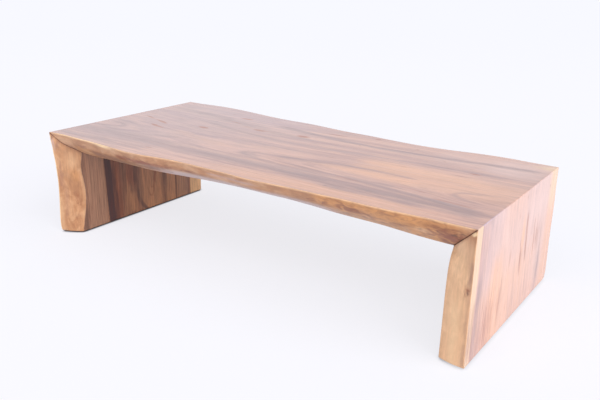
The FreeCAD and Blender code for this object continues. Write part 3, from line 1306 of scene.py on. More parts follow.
@dataclass
class WaterfallTable:
    """The three slabs and the hardware that the CAD model holds."""

    thickness: float = 80.0
    half_width: float = 394.5
    left_front_tip: float = 0.016
    top_humps: float = 0.9
    leg_humps: float = 0.5
    hold_steps: tuple[float, ...] = (100.0, 80.0, 6.0, 0.0, -6.0)

    def slabs(self) -> list[Slab]:
        """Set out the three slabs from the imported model's sizes.

        Returns:
            The top, the left leg and the right leg.
        """
        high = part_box("top_slab")[1]
        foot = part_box("left_leg_slab")[0].z / MM
        half_length, height = high.x / MM, high.z / MM
        corner = half_length - self.thickness

        def edge(side: Side, rows: Rows, work: HandWork) -> LiveEdge:
            """Make a live edge of the plank."""
            return LiveEdge(side, rows, self.half_width, self.thickness, work)

        front_rows = self._held(TOP_FRONT, corner, self.left_front_tip)
        top_front = edge(Side.FRONT, front_rows, HandWork(11, self.top_humps))
        top_back = edge(Side.BACK, self._held(TOP_BACK, corner), HandWork(12, self.top_humps))
        shared = {"figure": PlankFigure(MARKS), "half_length": half_length, "height": height}
        top = TopSlab(
            "top_slab", top_front, top_back,
            SectionOutline(self.thickness, face_points=150, edge_points=20), station_step=7.0, **shared,
        )
        legs = [
            LegSlab(
                node, edge(Side.FRONT, front, HandWork(seed, self.leg_humps)),
                edge(Side.BACK, back, HandWork(seed + 1, self.leg_humps)),
                SectionOutline(self.thickness, face_points=150, edge_points=24), station_step=3.0,
                hand=hand, foot=foot, mitre_from=(top_front, top_back), **shared,
            )
            for node, hand, front, back, seed in (
                ("left_leg_slab", -1, LEFT_LEG_FRONT, LEFT_LEG_BACK, 21),
                ("right_leg_slab", 1, RIGHT_LEG_FRONT, RIGHT_LEG_BACK, 31),
            )
        ]
        return [top, *legs]

    @staticmethod
    def finishes() -> list[bpy.types.Material]:
        """Make the slabs' materials. The inner faces are browner, in stronger grain and thin lacquer.

        Returns:
            Materials of the outer face, the inner face, the live edges and end grain.
        """
        inner = SandedSuar(
            name="suar_wood_sanded_thin_lacquer", coat=0.3, coat_roughness=0.35,
            heart_pale="#A06C48", heart_brown="#7E4E34", ring_brown="#5C3323",
            grey_brown="#9E7359", mauve="#A88874", warm_tan="#B27A52", pale_rose="#B48A6C",
            streak_black="#3E0A00", red_brown="#7E4224", sap_cream="#D2A476",
            contrast=1.2, line_depth=0.34,
        )
        return [finish.material() for finish in (SandedSuar(), inner, ScrapedSuarEdge(), SawnSuarEnd())]

    def _held(self, rows: Rows, corner: float, left_tip: float = 0.0) -> Rows:
        """Turn shares of the run into places, and hold the end rows over the mitres.

        A tip flares the left end out with the square of the distance from the inner corner.

        Args:
            rows: Rows of a live edge, their places as shares of the run.
            corner: How far the inner corners are from the middle.
            left_tip: The flare at the left corner, as a share of half the plank's width.

        Returns:
            Rows of the live edge, their places in millimetres.
        """
        (_, reach, *shape), last = rows[0], rows[-1][1:]
        before = [
            (-corner - step, reach + left_tip * (step / self.thickness) ** 2, *shape)
            for step in self.hold_steps
        ]
        after = [(corner + step, *last) for step in reversed(self.hold_steps)]
        return (*before, *[(row[0] * corner, *row[1:]) for row in rows[1:-1]], *after)

    def dress_hardware(self) -> list[str]:
        """Give the tenons, glides and screws of the CAD model their materials.

        Returns:
            The names of the nodes dressed.
        """
        finishes = {
            "tenon": PlanedBeech().material(),
            "glide_screws": ZincPlatedSteel().material(),
            "glide": MouldedNylon().material(),
        }
        dressed = []
        for name, node in sorted(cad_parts.items()):
            for part, material in finishes.items():
                if part in name:
                    node.data.materials.clear()
                    node.data.materials.append(material)
                    dressed.append(name)
                    break
        return dressed


# Sections of the live edges, as LiveEdge takes them. The top's places are shares of the way from
# its middle to a leg's inner face, and a leg's are millimetres down from the top's upper face
TOP_FRONT = (
    (-1.00, 0.944, 0.88, 0.19, 0.8),
    (-0.91, 0.955, 0.77, 0.19, 0.8),
    (-0.78, 0.959, 0.86, 0.19, 0.9),
    (-0.62, 0.984, 0.99, 0.20, 1.0),
    (-0.50, 1.012, 1.13, 0.21, 1.0),
    (-0.38, 0.971, 1.05, 0.21, 1.0),
    (-0.25, 0.936, 1.07, 0.22, 1.0),
    (-0.10, 0.944, 1.28, 0.22, 1.0),
    (0.05, 0.946, 1.34, 0.22, 1.0),
    (0.16, 0.976, 1.47, 0.22, 1.0),
    (0.32, 0.939, 1.32, 0.20, 1.0),
    (0.50, 0.935, 1.08, 0.18, 0.7),
    (0.63, 0.920, 1.00, 0.16, 0.4),
    (0.72, 0.935, 1.05, 0.15, 0.3),
    (0.86, 0.909, 0.73, 0.12, 0.2),
    (1.00, 0.905, 0.68, 0.10, 0.2),
)
TOP_BACK = (
    (-1.00, 0.974, 0.40, 0.15, 0.4),
    (-0.80, 1.019, 0.52, 0.17, 0.4),
    (-0.56, 0.944, 0.60, 0.18, 0.5),
    (-0.33, 0.888, 0.72, 0.20, 0.6),
    (-0.20, 0.914, 0.80, 0.20, 0.6),
    (0.04, 0.835, 0.78, 0.20, 0.6),
    (0.18, 0.846, 0.72, 0.20, 0.5),
    (0.43, 0.787, 0.70, 0.18, 0.5),
    (0.62, 0.815, 0.62, 0.18, 0.4),
    (0.82, 0.896, 0.55, 0.17, 0.4),
    (1.00, 0.868, 0.46, 0.15, 0.4),
)
LEFT_LEG_FRONT = (
    (0.0, 0.944, 0.88, 0.19, 0.8),
    (80.0, 0.944, 0.88, 0.19, 0.8),
    (112.0, 0.927, 0.70, 0.17, 0.6),
    (150.0, 0.925, 0.64, 0.15, 0.5),
    (195.0, 0.917, 0.72, 0.14, 0.4),
    (256.0, 0.922, 0.83, 0.16, 0.4),
    (310.0, 0.932, 0.77, 0.16, 0.4),
    (374.0, 0.942, 0.62, 0.15, 0.4),
    (400.0, 0.928, 0.51, 0.12, 0.4),
)
LEFT_LEG_BACK = (
    (0.0, 0.974, 0.40, 0.15, 0.4),
    (80.0, 0.974, 0.40, 0.15, 0.4),
    (176.0, 0.972, 0.42, 0.15, 0.4),
    (288.0, 0.978, 0.44, 0.15, 0.4),
    (378.0, 0.972, 0.42, 0.15, 0.4),
    (400.0, 0.957, 0.36, 0.12, 0.4),
)
RIGHT_LEG_FRONT = (
    (0.0, 0.905, 0.68, 0.10, 0.2),
    (80.0, 0.905, 0.68, 0.10, 0.2),
    (96.0, 0.903, 0.48, 0.10, 0.2),
    (118.0, 0.903, 0.38, 0.10, 0.2),
    (176.0, 0.903, 0.29, 0.10, 0.2),
    (266.0, 0.903, 0.26, 0.10, 0.2),
    (378.0, 0.905, 0.23, 0.18, 0.2),
    (400.0, 0.893, 0.17, 0.30, 0.2),
)
RIGHT_LEG_BACK = (
    (0.0, 0.868, 0.46, 0.15, 0.4),
    (80.0, 0.868, 0.46, 0.15, 0.4),
    (118.0, 0.886, 0.44, 0.15, 0.4),
    (160.0, 0.884, 0.42, 0.15, 0.4),
    (234.0, 0.880, 0.40, 0.15, 0.4),
    (323.0, 0.896, 0.42, 0.15, 0.4),
    (381.0, 0.912, 0.44, 0.15, 0.4),
    (400.0, 0.880, 0.36, 0.12, 0.4),
)

DARK, GREY, WARM, RED, SAP_AND_HIGHLIGHT, PALE, MAUVE = Tone

# Marks in millimetres: the place along the unfolded plank, then Y, or the depth on a live edge
MARKS: dict[Face, tuple[Mark, ...]] = {
    Face.OUTER: (
        # Top: the left end and the back are more mauve, the right half more tan
        Streak(GREY, ((-1300, 0), (-500, 20), (150, 60)), 400, 0.3, 600, 4),
        Streak(MAUVE, ((-1300, 0), (900, 0)), 600, 0.2, 60, 6),
        Streak(MAUVE, ((-1300, 40), (-600, 60), (200, 90)), 420, 0.2, 700, 4),
        Streak(MAUVE, ((-900, 320), (-450, 300), (100, 270)), 110, 0.14, 300, 3),
        Streak(WARM, ((180, -30), (500, -40), (1000, -50)), 110, 0.55, 260, 3),
        Streak(WARM, ((240, 22), (480, 14), (760, 8)), 26, 0.5, 120),
        Streak(WARM, ((150, -106), (390, -108), (620, -120)), 24, 0.5, 110),
        Streak(WARM, ((-560, -60), (-400, -80), (-260, -116), (-100, -126)), 34, 0.36, 120),
        # The long mauve band before the middle, widest towards the right end
        Streak(GREY, (
            (-1240, -222), (-850, -232), (-400, -238), (0, -244), (300, -248), (600, -252), (870, -260),
        ), 46, 0.46, 100, 3),
        Streak(GREY, ((-240, -236), (100, -244), (400, -246), (700, -254), (880, -262)), 17, 0.45, 120),
        Streak(GREY, ((280, -282), (490, -286), (700, -280)), 20, 0.42, 110),
        Streak(DARK, ((300, -252), (560, -254), (760, -260), (900, -266)), 7, 0.36, 160),
        Streak(GREY, ((-900, -326), (-640, -326), (-330, -320)), 34, 0.42, 90, 3),
        Streak(GREY, ((80, -166), (224, -178), (420, -192), (560, -208), (850, -238)), 13, 0.66, 120),
        Streak(RED, ((290, -186), (350, -190), (430, -196)), 4, 0.5, 40),
        Streak(RED, ((480, -158), (560, -162), (640, -174)), 4, 0.5, 40),
        Streak(RED, ((610, -198), (700, -206), (810, -218)), 4.5, 0.55, 50),
        Streak(DARK, ((420, -206), (600, -222), (860, -246)), 5, 0.3, 100),
        Streak(WARM, ((480, -216), (640, -232), (850, -252)), 5, 0.6, 90),
        Streak(GREY, ((320, -168), (430, -172), (540, -178)), 12, 0.34, 60),
        # The tan band along the front edge
        Streak(WARM, ((-300, -330), (0, -332), (400, -326), (950, -318)), 42, 0.5, 420, 4),
        Streak(GREY, ((340, -344), (490, -346), (640, -344)), 14, 0.3, 80),
        Streak(PALE, ((620, 240), (900, 220)), 130, 0.34, 90, 4),
        Fleck(WARM, (350, -44), 70, 18, 0.34),
        Fleck(PALE, (-210, 316), 80, 26, 0.4),
        Fleck(GREY, (490, -170), 60, 13, 0.22),
        # Growth rings cut flat: one from the middle, one at the right end, two at the left
        Arch(GREY, (-86, -150), 760, 84, 13, 0.52),
        Fleck(GREY, (-40, -150), 60, 12, 0.45),
        Arch(GREY, (680, -128), 170, 62, 13, 0.52),
        Arch(GREY, (-700, -134), -200, 52, 12, 0.5),
        Arch(GREY, (-404, -120), -520, 108, 14, 0.18),
        Streak(GREY, (
            (20, -128), (80, -110), (150, -82), (260, -66), (420, -64), (560, -70),
        ), 10, 0.55, 60),
        # The dark streak behind the middle, and thinner ones near it
        Streak(GREY, (
            (-260, 254), (-190, 242), (-56, 216), (140, 193), (322, 189), (532, 211), (700, 232),
            (866, 240),
        ), 18, 0.76, 90),
        Streak(GREY, ((-900, 250), (-700, 246), (-540, 226), (-380, 210)), 34, 0.45, 140),
        Streak(GREY, (
            (-560, 130), (-420, 112), (-238, 60), (56, 54), (200, 72), (336, 92), (840, 112),
        ), 13, 0.55, 110),
        Streak(GREY, ((-100, 132), (60, 128), (220, 136)), 12, 0.42, 90),
        Streak(GREY, ((-300, -12), (-120, -20), (60, -24), (240, -14)), 12, 0.45, 120),
        Streak(GREY, ((-860, -60), (-720, -78), (-560, -96)), 12, 0.36, 80),
        Streak(PALE, ((360, 250), (560, 225), (900, 210)), 95, 0.4, 160, 3),
        Streak(GREY, ((-520, 200), (-350, 188), (-210, 146), (-60, 134), (40, 132)), 28, 0.42, 80),
        # A flame-like pair by the left end
        Fleck(RED, (-640, 12), 36, 9, 1, -0.33),
        Fleck(RED, (-742, 44), 34, 7, 0.6, -0.35),
        Fleck(RED, (-625, -46), 24, 9, 0.9, -0.3),
        Fleck(RED, (-585, -57), 34, 8, 0.7, -0.2),
        Streak(RED, ((-800, 62), (-742, 42), (-690, 30), (-600, -6), (-560, -24)), 4, 0.4, 50),
        # Reddish flecks and small dark specks
        Fleck(RED, (-441, 40), 26, 12, 1, -0.1),
        Fleck(RED, (-238, 136), 30, 11, 1, -0.06),
        Streak(RED, ((-250, 138), (-200, 142), (-140, 144)), 4, 0.45, 30),
        Fleck(RED, (-315, 152), 36, 8, 0.42, -0.18),
        Fleck(RED, (-400, 185), 40, 7, 0.62, -0.22),
        Fleck(RED, (-49, 160), 28, 13),
        Fleck(RED, (-400, 262), 34, 11, 0.8, 0.1),
        Fleck(DARK, (-406, 263), 16, 5, 0.34, 0.1),
        Fleck(RED, (-490, 296), 30, 7, 0.4),
        Fleck(RED, (35, 259), 46, 12, 0.5, 0.05),
        Fleck(RED, (196, 296), 18, 10, 0.85),
        Fleck(RED, (189, 174), 9, 5, 0.6, -0.7),
        Fleck(RED, (378, 251), 10, 6, 0.62),
        Fleck(RED, (518, 168), 9, 5, 0.5),
        Fleck(RED, (655, 93), 20, 7, 0.85),
        Fleck(RED, (628, 46), 34, 4, 0.5),
        Fleck(RED, (434, 30), 40, 4, 0.45),
        Fleck(RED, (196, -19), 24, 5, 0.4),
        Fleck(RED, (-385, -304), 26, 7, 0.62),
        Fleck(RED, (-602, -304), 30, 6, 0.4),
        Fleck(DARK, (-350, -216), 10, 5, 0.42),
        Fleck(DARK, (343, -288), 8, 5, 0.45),
        Streak(RED, ((-850, 110), (-780, 96), (-710, 80)), 4.5, 0.35, 40),
        # Right leg: paler than the top towards the mitre, browner down the front
        Streak(PALE, ((836, 30), (1400, 30)), 330, 0.62, 6, 8, tail=400),
        Streak(PALE, ((836, 200), (1000, 220)), 160, 0.5, 80, 4),
        Streak(MAUVE, ((836, -230), (980, -250), (1160, -280)), 90, 0.4, 6, 4, tail=160),
        Streak(WARM, ((1000, -60), (1400, -60)), 240, 0.4, 100, 4),
        Fleck(WARM, (1030, 10), 130, 360, 0.24),
        Fleck(RED, (1170, -216), 130, 84, 0.44),
        # A strip of sapwood on the front
        Streak(SAP_AND_HIGHLIGHT, ((838, -337), (1000, -341), (1240, -345)), 22, 1, 4, 10),
        Streak(RED, ((1000, -341), (1120, -341), (1300, -345)), 26, 0.32, 90, 8),
        Streak(GREY, ((838, -258), (940, -270), (1040, -290), (1244, -300)), 30, 0.3, 6, 3),
        Streak(GREY, ((940, -304), (1100, -304), (1260, -298)), 12, 0.5, 90),
        Streak(GREY, ((840, -210), (1000, -222), (1120, -234), (1244, -236)), 9, 0.26, 10),
        Streak(WARM, ((930, -170), (1100, -160), (1300, -150)), 60, 0.55, 90),
        Fleck(RED, (1130, -124), 74, 14, 0.44),
        Fleck(RED, (1014, -64), 50, 11, 0.34, 0.03),
        # The pair of reddish streaks in the middle
        Streak(RED, ((870, 60), (950, 66), (1010, 72), (1120, 86)), 10, 0.52, 80, 3),
        Fleck(RED, (925, 64), 30, 8, 0.12, 0.06),
        Fleck(RED, (1060, 34), 60, 15, 0.42, 0.05),
        Streak(RED, ((970, 16), (1030, 26), (1072, 36), (1130, 46)), 4, 0.42, 30),
        Fleck(WARM, (980, 38), 60, 16, 0.62),
        Fleck(RED, (905, -12), 18, 7, 0.4),
        Fleck(RED, (862, 40), 12, 6, 0.4),
        Streak(MAUVE, ((890, 98), (980, 98), (1060, 104)), 14, 0.5, 40),
        Streak(GREY, ((840, 120), (940, 120), (1020, 124)), 12, 0.28, 20),
        # Thin lines and a brown patch towards the back
        Streak(RED, ((930, 144), (1010, 148), (1110, 160)), 5, 0.45, 40),
        Streak(DARK, ((1070, 150), (1150, 160), (1230, 174)), 5, 0.36, 30),
        Fleck(RED, (1024, 172), 56, 18, 0.4),
        Fleck(RED, (1040, 204), 80, 22, 0.3),
        Fleck(GREY, (1160, 232), 84, 16, 0.5),
        Streak(GREY, ((960, 222), (1060, 228), (1150, 234), (1240, 242)), 9, 0.45, 60),
        Streak(GREY, ((1000, -16), (1120, -8), (1240, 10)), 10, 0.36, 60),
        Streak(GREY, ((1060, 96), (1160, 110), (1240, 118)), 8, 0.42, 60),
        Streak(WARM, ((836, 320), (1040, 310), (1260, 306)), 56, 0.5, 6, 4),
        Fleck(SAP_AND_HIGHLIGHT, (880, 308), 120, 46, 0.8),
        Fleck(DARK, (872, -136), 8, 5, 0.45, 0.4),
        Fleck(DARK, (884, 268), 8, 5, 0.5, 0.4),
        Fleck(DARK, (956, 172), 7, 4, 0.45),
        Fleck(RED, (1180, -60), 30, 5, 0.4, 0.04),
        # A painted glint: a pale mauve line along the fold by the front corner, where the lacquer
        # catches the light
        Fleck(MAUVE, (840.5, -270), 2, 74),
        # Left leg
        Streak(SAP_AND_HIGHLIGHT, ((-1240, -352), (-1000, -348), (-840, -356)), 14, 0.9, 10, 6),
        Streak(GREY, ((-1240, -240), (-1050, -236), (-840, -228)), 34, 0.8, 6, 3),
        Streak(DARK, ((-1240, -214), (-1050, -206), (-860, -200)), 6, 0.34),
        Streak(GREY, ((-1240, 30), (-1050, 40), (-840, 66)), 14, 0.7, 10),
        Streak(DARK, ((-1200, 34), (-1050, 42), (-880, 62)), 6, 0.34),
        Streak(RED, ((-1120, 100), (-1020, 110), (-900, 108)), 7, 0.55, 50),
        Streak(GREY, ((-1240, 172), (-1050, 190), (-840, 236)), 24, 0.62, 10),
        Streak(DARK, ((-1240, 160), (-1050, 168), (-900, 190)), 6, 0.3),
        Streak(SAP_AND_HIGHLIGHT, ((-1240, 366), (-840, 366)), 14, 0.9, 10, 6),
        Fleck(RED, (-1060, -120), 30, 7, 0.6, 0.05),
        Fleck(DARK, (-980, 288), 9, 5, 0.45),
    ),
    Face.INNER: (
        # Left leg, from the front: a grey-brown band, a near-black one, brown with red-brown lines
        Streak(GREY, ((-1244, -262), (-1050, -262), (-880, -266)), 66, 0.95, 8, 10),
        Streak(PALE, ((-1244, -250), (-1180, -250), (-1040, -252)), 40, 0.42, 8, 3, tail=120),
        Streak(PALE, ((-1244, -239), (-1100, -240), (-880, -242)), 5, 0.6, 8, 4),
        Streak(PALE, ((-1244, -226), (-1100, -228), (-880, -230)), 6, 0.64, 8, 4),
        Streak(DARK, ((-1244, -262), (-1100, -264), (-880, -262)), 8, 0.14, 60, 4),
        Fleck(DARK, (-1185, -284), 80, 30, 0.34),
        Streak(DARK, ((-1244, -318), (-1060, -316), (-880, -312)), 22, 0.46, 8, 6),
        Streak(RED, ((-1244, -290), (-1100, -292), (-900, -288)), 6, 0.32, 30),
        Streak(DARK, ((-1244, -176), (-1120, -181), (-1000, -184), (-880, -187)), 16, 1.15, 8, 11),
        Streak(DARK, ((-1380, -152), (-1220, -160), (-1100, -165), (-920, -172)), 24, 0.66, 130, 8),
        Streak(RED, ((-1244, -142), (-1100, -146), (-880, -150)), 26, 0.6, 8, 10),
        Streak(WARM, ((-1244, -130), (-1100, -132), (-880, -134)), 3.5, 0.55, 8),
        Streak(DARK, ((-1244, -100), (-1100, -102), (-880, -104)), 5, 0.22, 60, 3),
        Streak(DARK, ((-1180, -96), (-1060, -98), (-900, -94)), 7, 0.42, 60),
        Streak(RED, ((-1160, -68), (-1060, -74), (-880, -74)), 24, 0.62, 90, 6),
        Streak(WARM, ((-1244, -64), (-1190, -66), (-1130, -66)), 15, 0.8, 30),
        Fleck(DARK, (-890, -76), 44, 13, 0.34),
        # The dark line that runs round the tan oval
        Streak(DARK, (
            (-1252, 30), (-1234, 6), (-1204, -20), (-1150, -40), (-1080, -46), (-980, -38), (-880, -28),
        ), 13, 0.6, 6, 4),
        Streak(RED, ((-1244, -34), (-1130, -54), (-980, -52), (-880, -44)), 11, 0.3, 6),
        Streak(WARM, ((-1244, 50), (-1100, 44), (-880, 38)), 60, 0.9, 10, 6),
        Arch(RED, (-1222, 30), 300, 60, 11, 0.14),
        Arch(RED, (-1186, 40), 300, 52, 6, 0.34),
        Arch(RED, (-1150, 46), 280, 44, 5, 0.34),
        Arch(RED, (-1120, 50), 260, 36, 5, 0.3),
        # Behind the oval: dark, tan, brown and a strip of sapwood
        Streak(DARK, ((-1200, 124), (-1060, 122), (-960, 116), (-872, 106)), 16, 0.42, 90),
        Streak(WARM, ((-1244, 160), (-1100, 160), (-880, 156)), 34, 0.85, 8, 4),
        Fleck(RED, (-1178, 152), 30, 12, 0.36),
        Streak(DARK, ((-1244, 188), (-1100, 189), (-880, 190)), 4, 0.75, 8),
        Streak(GREY, ((-1244, 236), (-880, 236)), 40, 0.4, 8, 6),
        Streak(DARK, ((-1244, 202), (-1100, 201), (-880, 200)), 3.5, 0.45, 8),
        Streak(DARK, ((-1244, 240), (-1100, 239), (-880, 240)), 3.5, 0.45, 8),
        Streak(DARK, ((-1244, 266), (-1100, 265), (-880, 264)), 4.5, 0.52, 8),
        Streak(SAP_AND_HIGHLIGHT, ((-1244, 318), (-880, 318)), 40, 1, 8, 14),
        # Underside of the top
        Streak(GREY, ((-790, -262), (-300, -258), (200, -262), (790, -256)), 44, 0.8, 12, 5),
        Streak(DARK, ((-790, -186), (-300, -176), (200, -168), (790, -180)), 15, 0.85, 12),
        Streak(DARK, ((-790, -96), (-300, -84), (100, -96)), 8, 0.45, 60),
        Streak(WARM, ((-790, 34), (-300, 30), (300, 40), (790, 20)), 54, 0.7, 12, 3),
        Arch(DARK, (-420, 34), 700, 82, 6, 0.42),
        Arch(RED, (-340, 34), 620, 66, 5, 0.36),
        Streak(DARK, ((-790, 108), (-200, 136), (300, 130), (790, 118)), 12, 0.6, 12),
        Streak(DARK, ((-790, 190), (-200, 196), (300, 204), (790, 198)), 6, 0.6, 12),
        Streak(SAP_AND_HIGHLIGHT, (
            (-790, 322), (-500, 322), (-300, 296), (0, 276), (350, 262), (790, 296),
        ), 30, 0.95, 12, 6),
        # Inner face of the right leg
        Streak(GREY, ((840, -256), (1080, -250), (1244, -246)), 42, 0.8, 12, 5),
        Streak(DARK, ((840, -180), (1080, -170), (1244, -162)), 14, 0.85, 12),
        Streak(WARM, ((840, 20), (1080, 10), (1244, 4)), 50, 0.6, 12, 3),
        Streak(DARK, ((840, 118), (1080, 110), (1244, 104)), 11, 0.6, 12),
        Streak(DARK, ((840, 198), (1080, 206), (1244, 210)), 6, 0.55, 12),
        Streak(SAP_AND_HIGHLIGHT, ((840, 300), (1080, 304), (1244, 306)), 30, 0.95, 12, 6),
    ),
    Face.FRONT: (
        # A thin golden line along the upper arris, cream and wider near the left end: partly sapwood,
        # partly a painted highlight where the eased arris catches the light
        Streak(WARM, ((-850, 0), (850, 0)), 4.5, 0.8, 30),
        Streak(SAP_AND_HIGHLIGHT, ((-820, 0), (-560, 0)), 4, 0.7, 40),
        Fleck(SAP_AND_HIGHLIGHT, (-534, 3), 54, 9, 0.9),
        Streak(SAP_AND_HIGHLIGHT, ((-1244, 0), (-846, 0)), 5, 0.7, 8),
        # The top's front edge: brown under the line, rosy grey lower down where it turns under, partly
        # the wood's tone and partly a painted reflection of the pale floor
        Streak(WARM, ((-850, 36), (-710, 36)), 30, 0.4, 30, 4),
        Streak(GREY, ((-850, 52), (-710, 52)), 24, 0.36, 30),
        Fleck(RED, (-670, 30), 34, 16, 0.48),
        Fleck(WARM, (-666, 58), 34, 13, 0.6),
        Streak(MAUVE, ((-660, 58), (-460, 58)), 20, 0.6, 40, 3),
        Streak(RED, ((-490, 33), (-414, 28), (-350, 30), (-300, 34)), 7, 0.85, 26),
        Fleck(DARK, (-414, 28), 30, 4, 0.45),
        Fleck(RED, (-312, 54), 54, 15, 0.6),
        Fleck(RED, (-330, 36), 50, 8, 0.45),
        Streak(DARK, ((-640, 82), (-500, 80), (-430, 76), (-360, 82)), 9, 0.5, 60),
        Streak(GREY, ((-400, 80), (-180, 64), (60, 58), (260, 58), (500, 84)), 25, 0.8, 170, 3),
        Streak(RED, ((-520, 44), (-380, 44), (-200, 38)), 26, 0.32, 60, 3),
        Streak(GREY, ((-90, 20), (40, 20), (180, 18)), 7, 0.5, 60),
        Streak(RED, ((-330, 36), (-200, 34), (-60, 32)), 6, 0.42, 80),
        # Orange burr and cracks by the right corner
        Streak(PALE, ((320, 36), (560, 40), (834, 40)), 52, 0.75, 60, 6),
        Streak(RED, ((320, 34), (560, 44), (840, 44)), 44, 0.34, 60, 4),
        Fleck(WARM, (684, 48), 38, 13, 0.62),
        Fleck(RED, (766, 50), 38, 26, 0.85),
        Fleck(RED, (330, 28), 60, 8, 0.45),
        Fleck(RED, (470, 34), 50, 12, 0.42),
        Fleck(DARK, (790, 48), 20, 9, 0.62, 0.6),
        Fleck(DARK, (770, 76), 30, 7, 0.55),
        Fleck(DARK, (801, 26), 10, 4, 0.7, 0.3),
        Fleck(DARK, (776, 34), 9, 3.5, 0.6, -0.3),
        Fleck(DARK, (733, 40), 8, 3, 0.55, 0.2),
        Fleck(DARK, (677, 42), 9, 3, 0.45, 0.2),
        Fleck(DARK, (618, 44), 7, 3, 0.4),
        Fleck(DARK, (556, 38), 9, 3, 0.35),
        # A painted glint: the small cream spot at the upper outer corner of the right leg's front edge
        Fleck(SAP_AND_HIGHLIGHT, (855, 8), 7, 7, 1.3, 0.6),
        # The right leg is paler, with a knot near its outer arris and curved fibre lines above it
        Streak(WARM, ((846, 50), (1060, 42), (1420, 40)), 60, 0.64, 60, 4),
        Streak(SAP_AND_HIGHLIGHT, ((1000, 42), (1120, 40), (1420, 38)), 22, 0.34, 90),
        Fleck(MAUVE, (900, 18), 60, 20, 0.28),
        Fleck(WARM, (925, 52), 60, 18, 0.7),
        Streak(MAUVE, ((900, 5), (1080, 5), (1270, 6)), 10, 0.44, 50),
        Fleck(DARK, (1020, 12), 9, 7.5, 0.4),
        Fleck(RED, (1020, 12), 14, 11, 0.62),
        Fleck(RED, (1000, 18), 16, 5, 0.3, -0.4),
        Arch(MAUVE, (1002, 22), -150, 36, 2.6, 0.22),
        Arch(RED, (984, 26), -130, 40, 2.4, 0.16),
        # The left leg: rosy clouds, browner towards the inside
        Streak(WARM, ((-1060, 50), (-850, 50)), 40, 0.22, 60, 4),
        Streak(MAUVE, ((-1080, 18), (-920, 18)), 9, 0.42, 40),
        Fleck(MAUVE, (-888, 24), 20, 10, 0.62, 0.4),
        Fleck(GREY, (-884, 8), 34, 7, 0.6),
        Fleck(WARM, (-955, 58), 26, 16, 0.3),
        Fleck(PALE, (-1006, 62), 34, 18, 0.5),
        Fleck(RED, (-1006, 62), 24, 12, 0.34),
        Streak(MAUVE, ((-1210, 30), (-1030, 30)), 11, 0.42, 50),
        Streak(WARM, ((-1280, 12), (-1110, 12)), 9, 0.4, 40),
        Streak(RED, ((-1250, 60), (-1180, 60), (-1060, 62)), 18, 0.28, 40),
        Fleck(DARK, (-846, 6), 22, 9, 0.55),
    ),
    Face.BACK: (
        # Sapwood along the upper arris, then brown clouds and small knots
        Streak(SAP_AND_HIGHLIGHT, ((-850, 0), (850, 0)), 5, 0.7, 30),
        Streak(RED, ((-700, 44), (-300, 40), (200, 42), (700, 40)), 16, 0.4, 120),
        Streak(WARM, ((-500, 20), (0, 18), (400, 20)), 10, 0.5, 160),
        Fleck(RED, (-140, 46), 60, 18, 0.75),
        Fleck(DARK, (-128, 48), 14, 8, 0.8, 0.3),
        Fleck(DARK, (418, 36), 10, 6, 0.65),
        Fleck(DARK, (-1080, 38), 8, 6, 0.7),
        Fleck(RED, (1120, 44), 40, 14, 0.45),
    ),
}


# Studio


def rays_that_see_white(tree: Tree) -> Socket:
    """Tell the rays that see floor and room white: the camera's own and reflections.

    Args:
        tree: The node tree.

    Returns:
        1 for a camera ray or a glossy ray, otherwise 0.
    """
    rays = add_node(tree, "ShaderNodeLightPath")
    return add_node(tree, "ShaderNodeMath", {"operation": "MAXIMUM"}, {
        0: rays.outputs["Is Camera Ray"], 1: rays.outputs["Is Glossy Ray"],
    }).outputs["Value"]


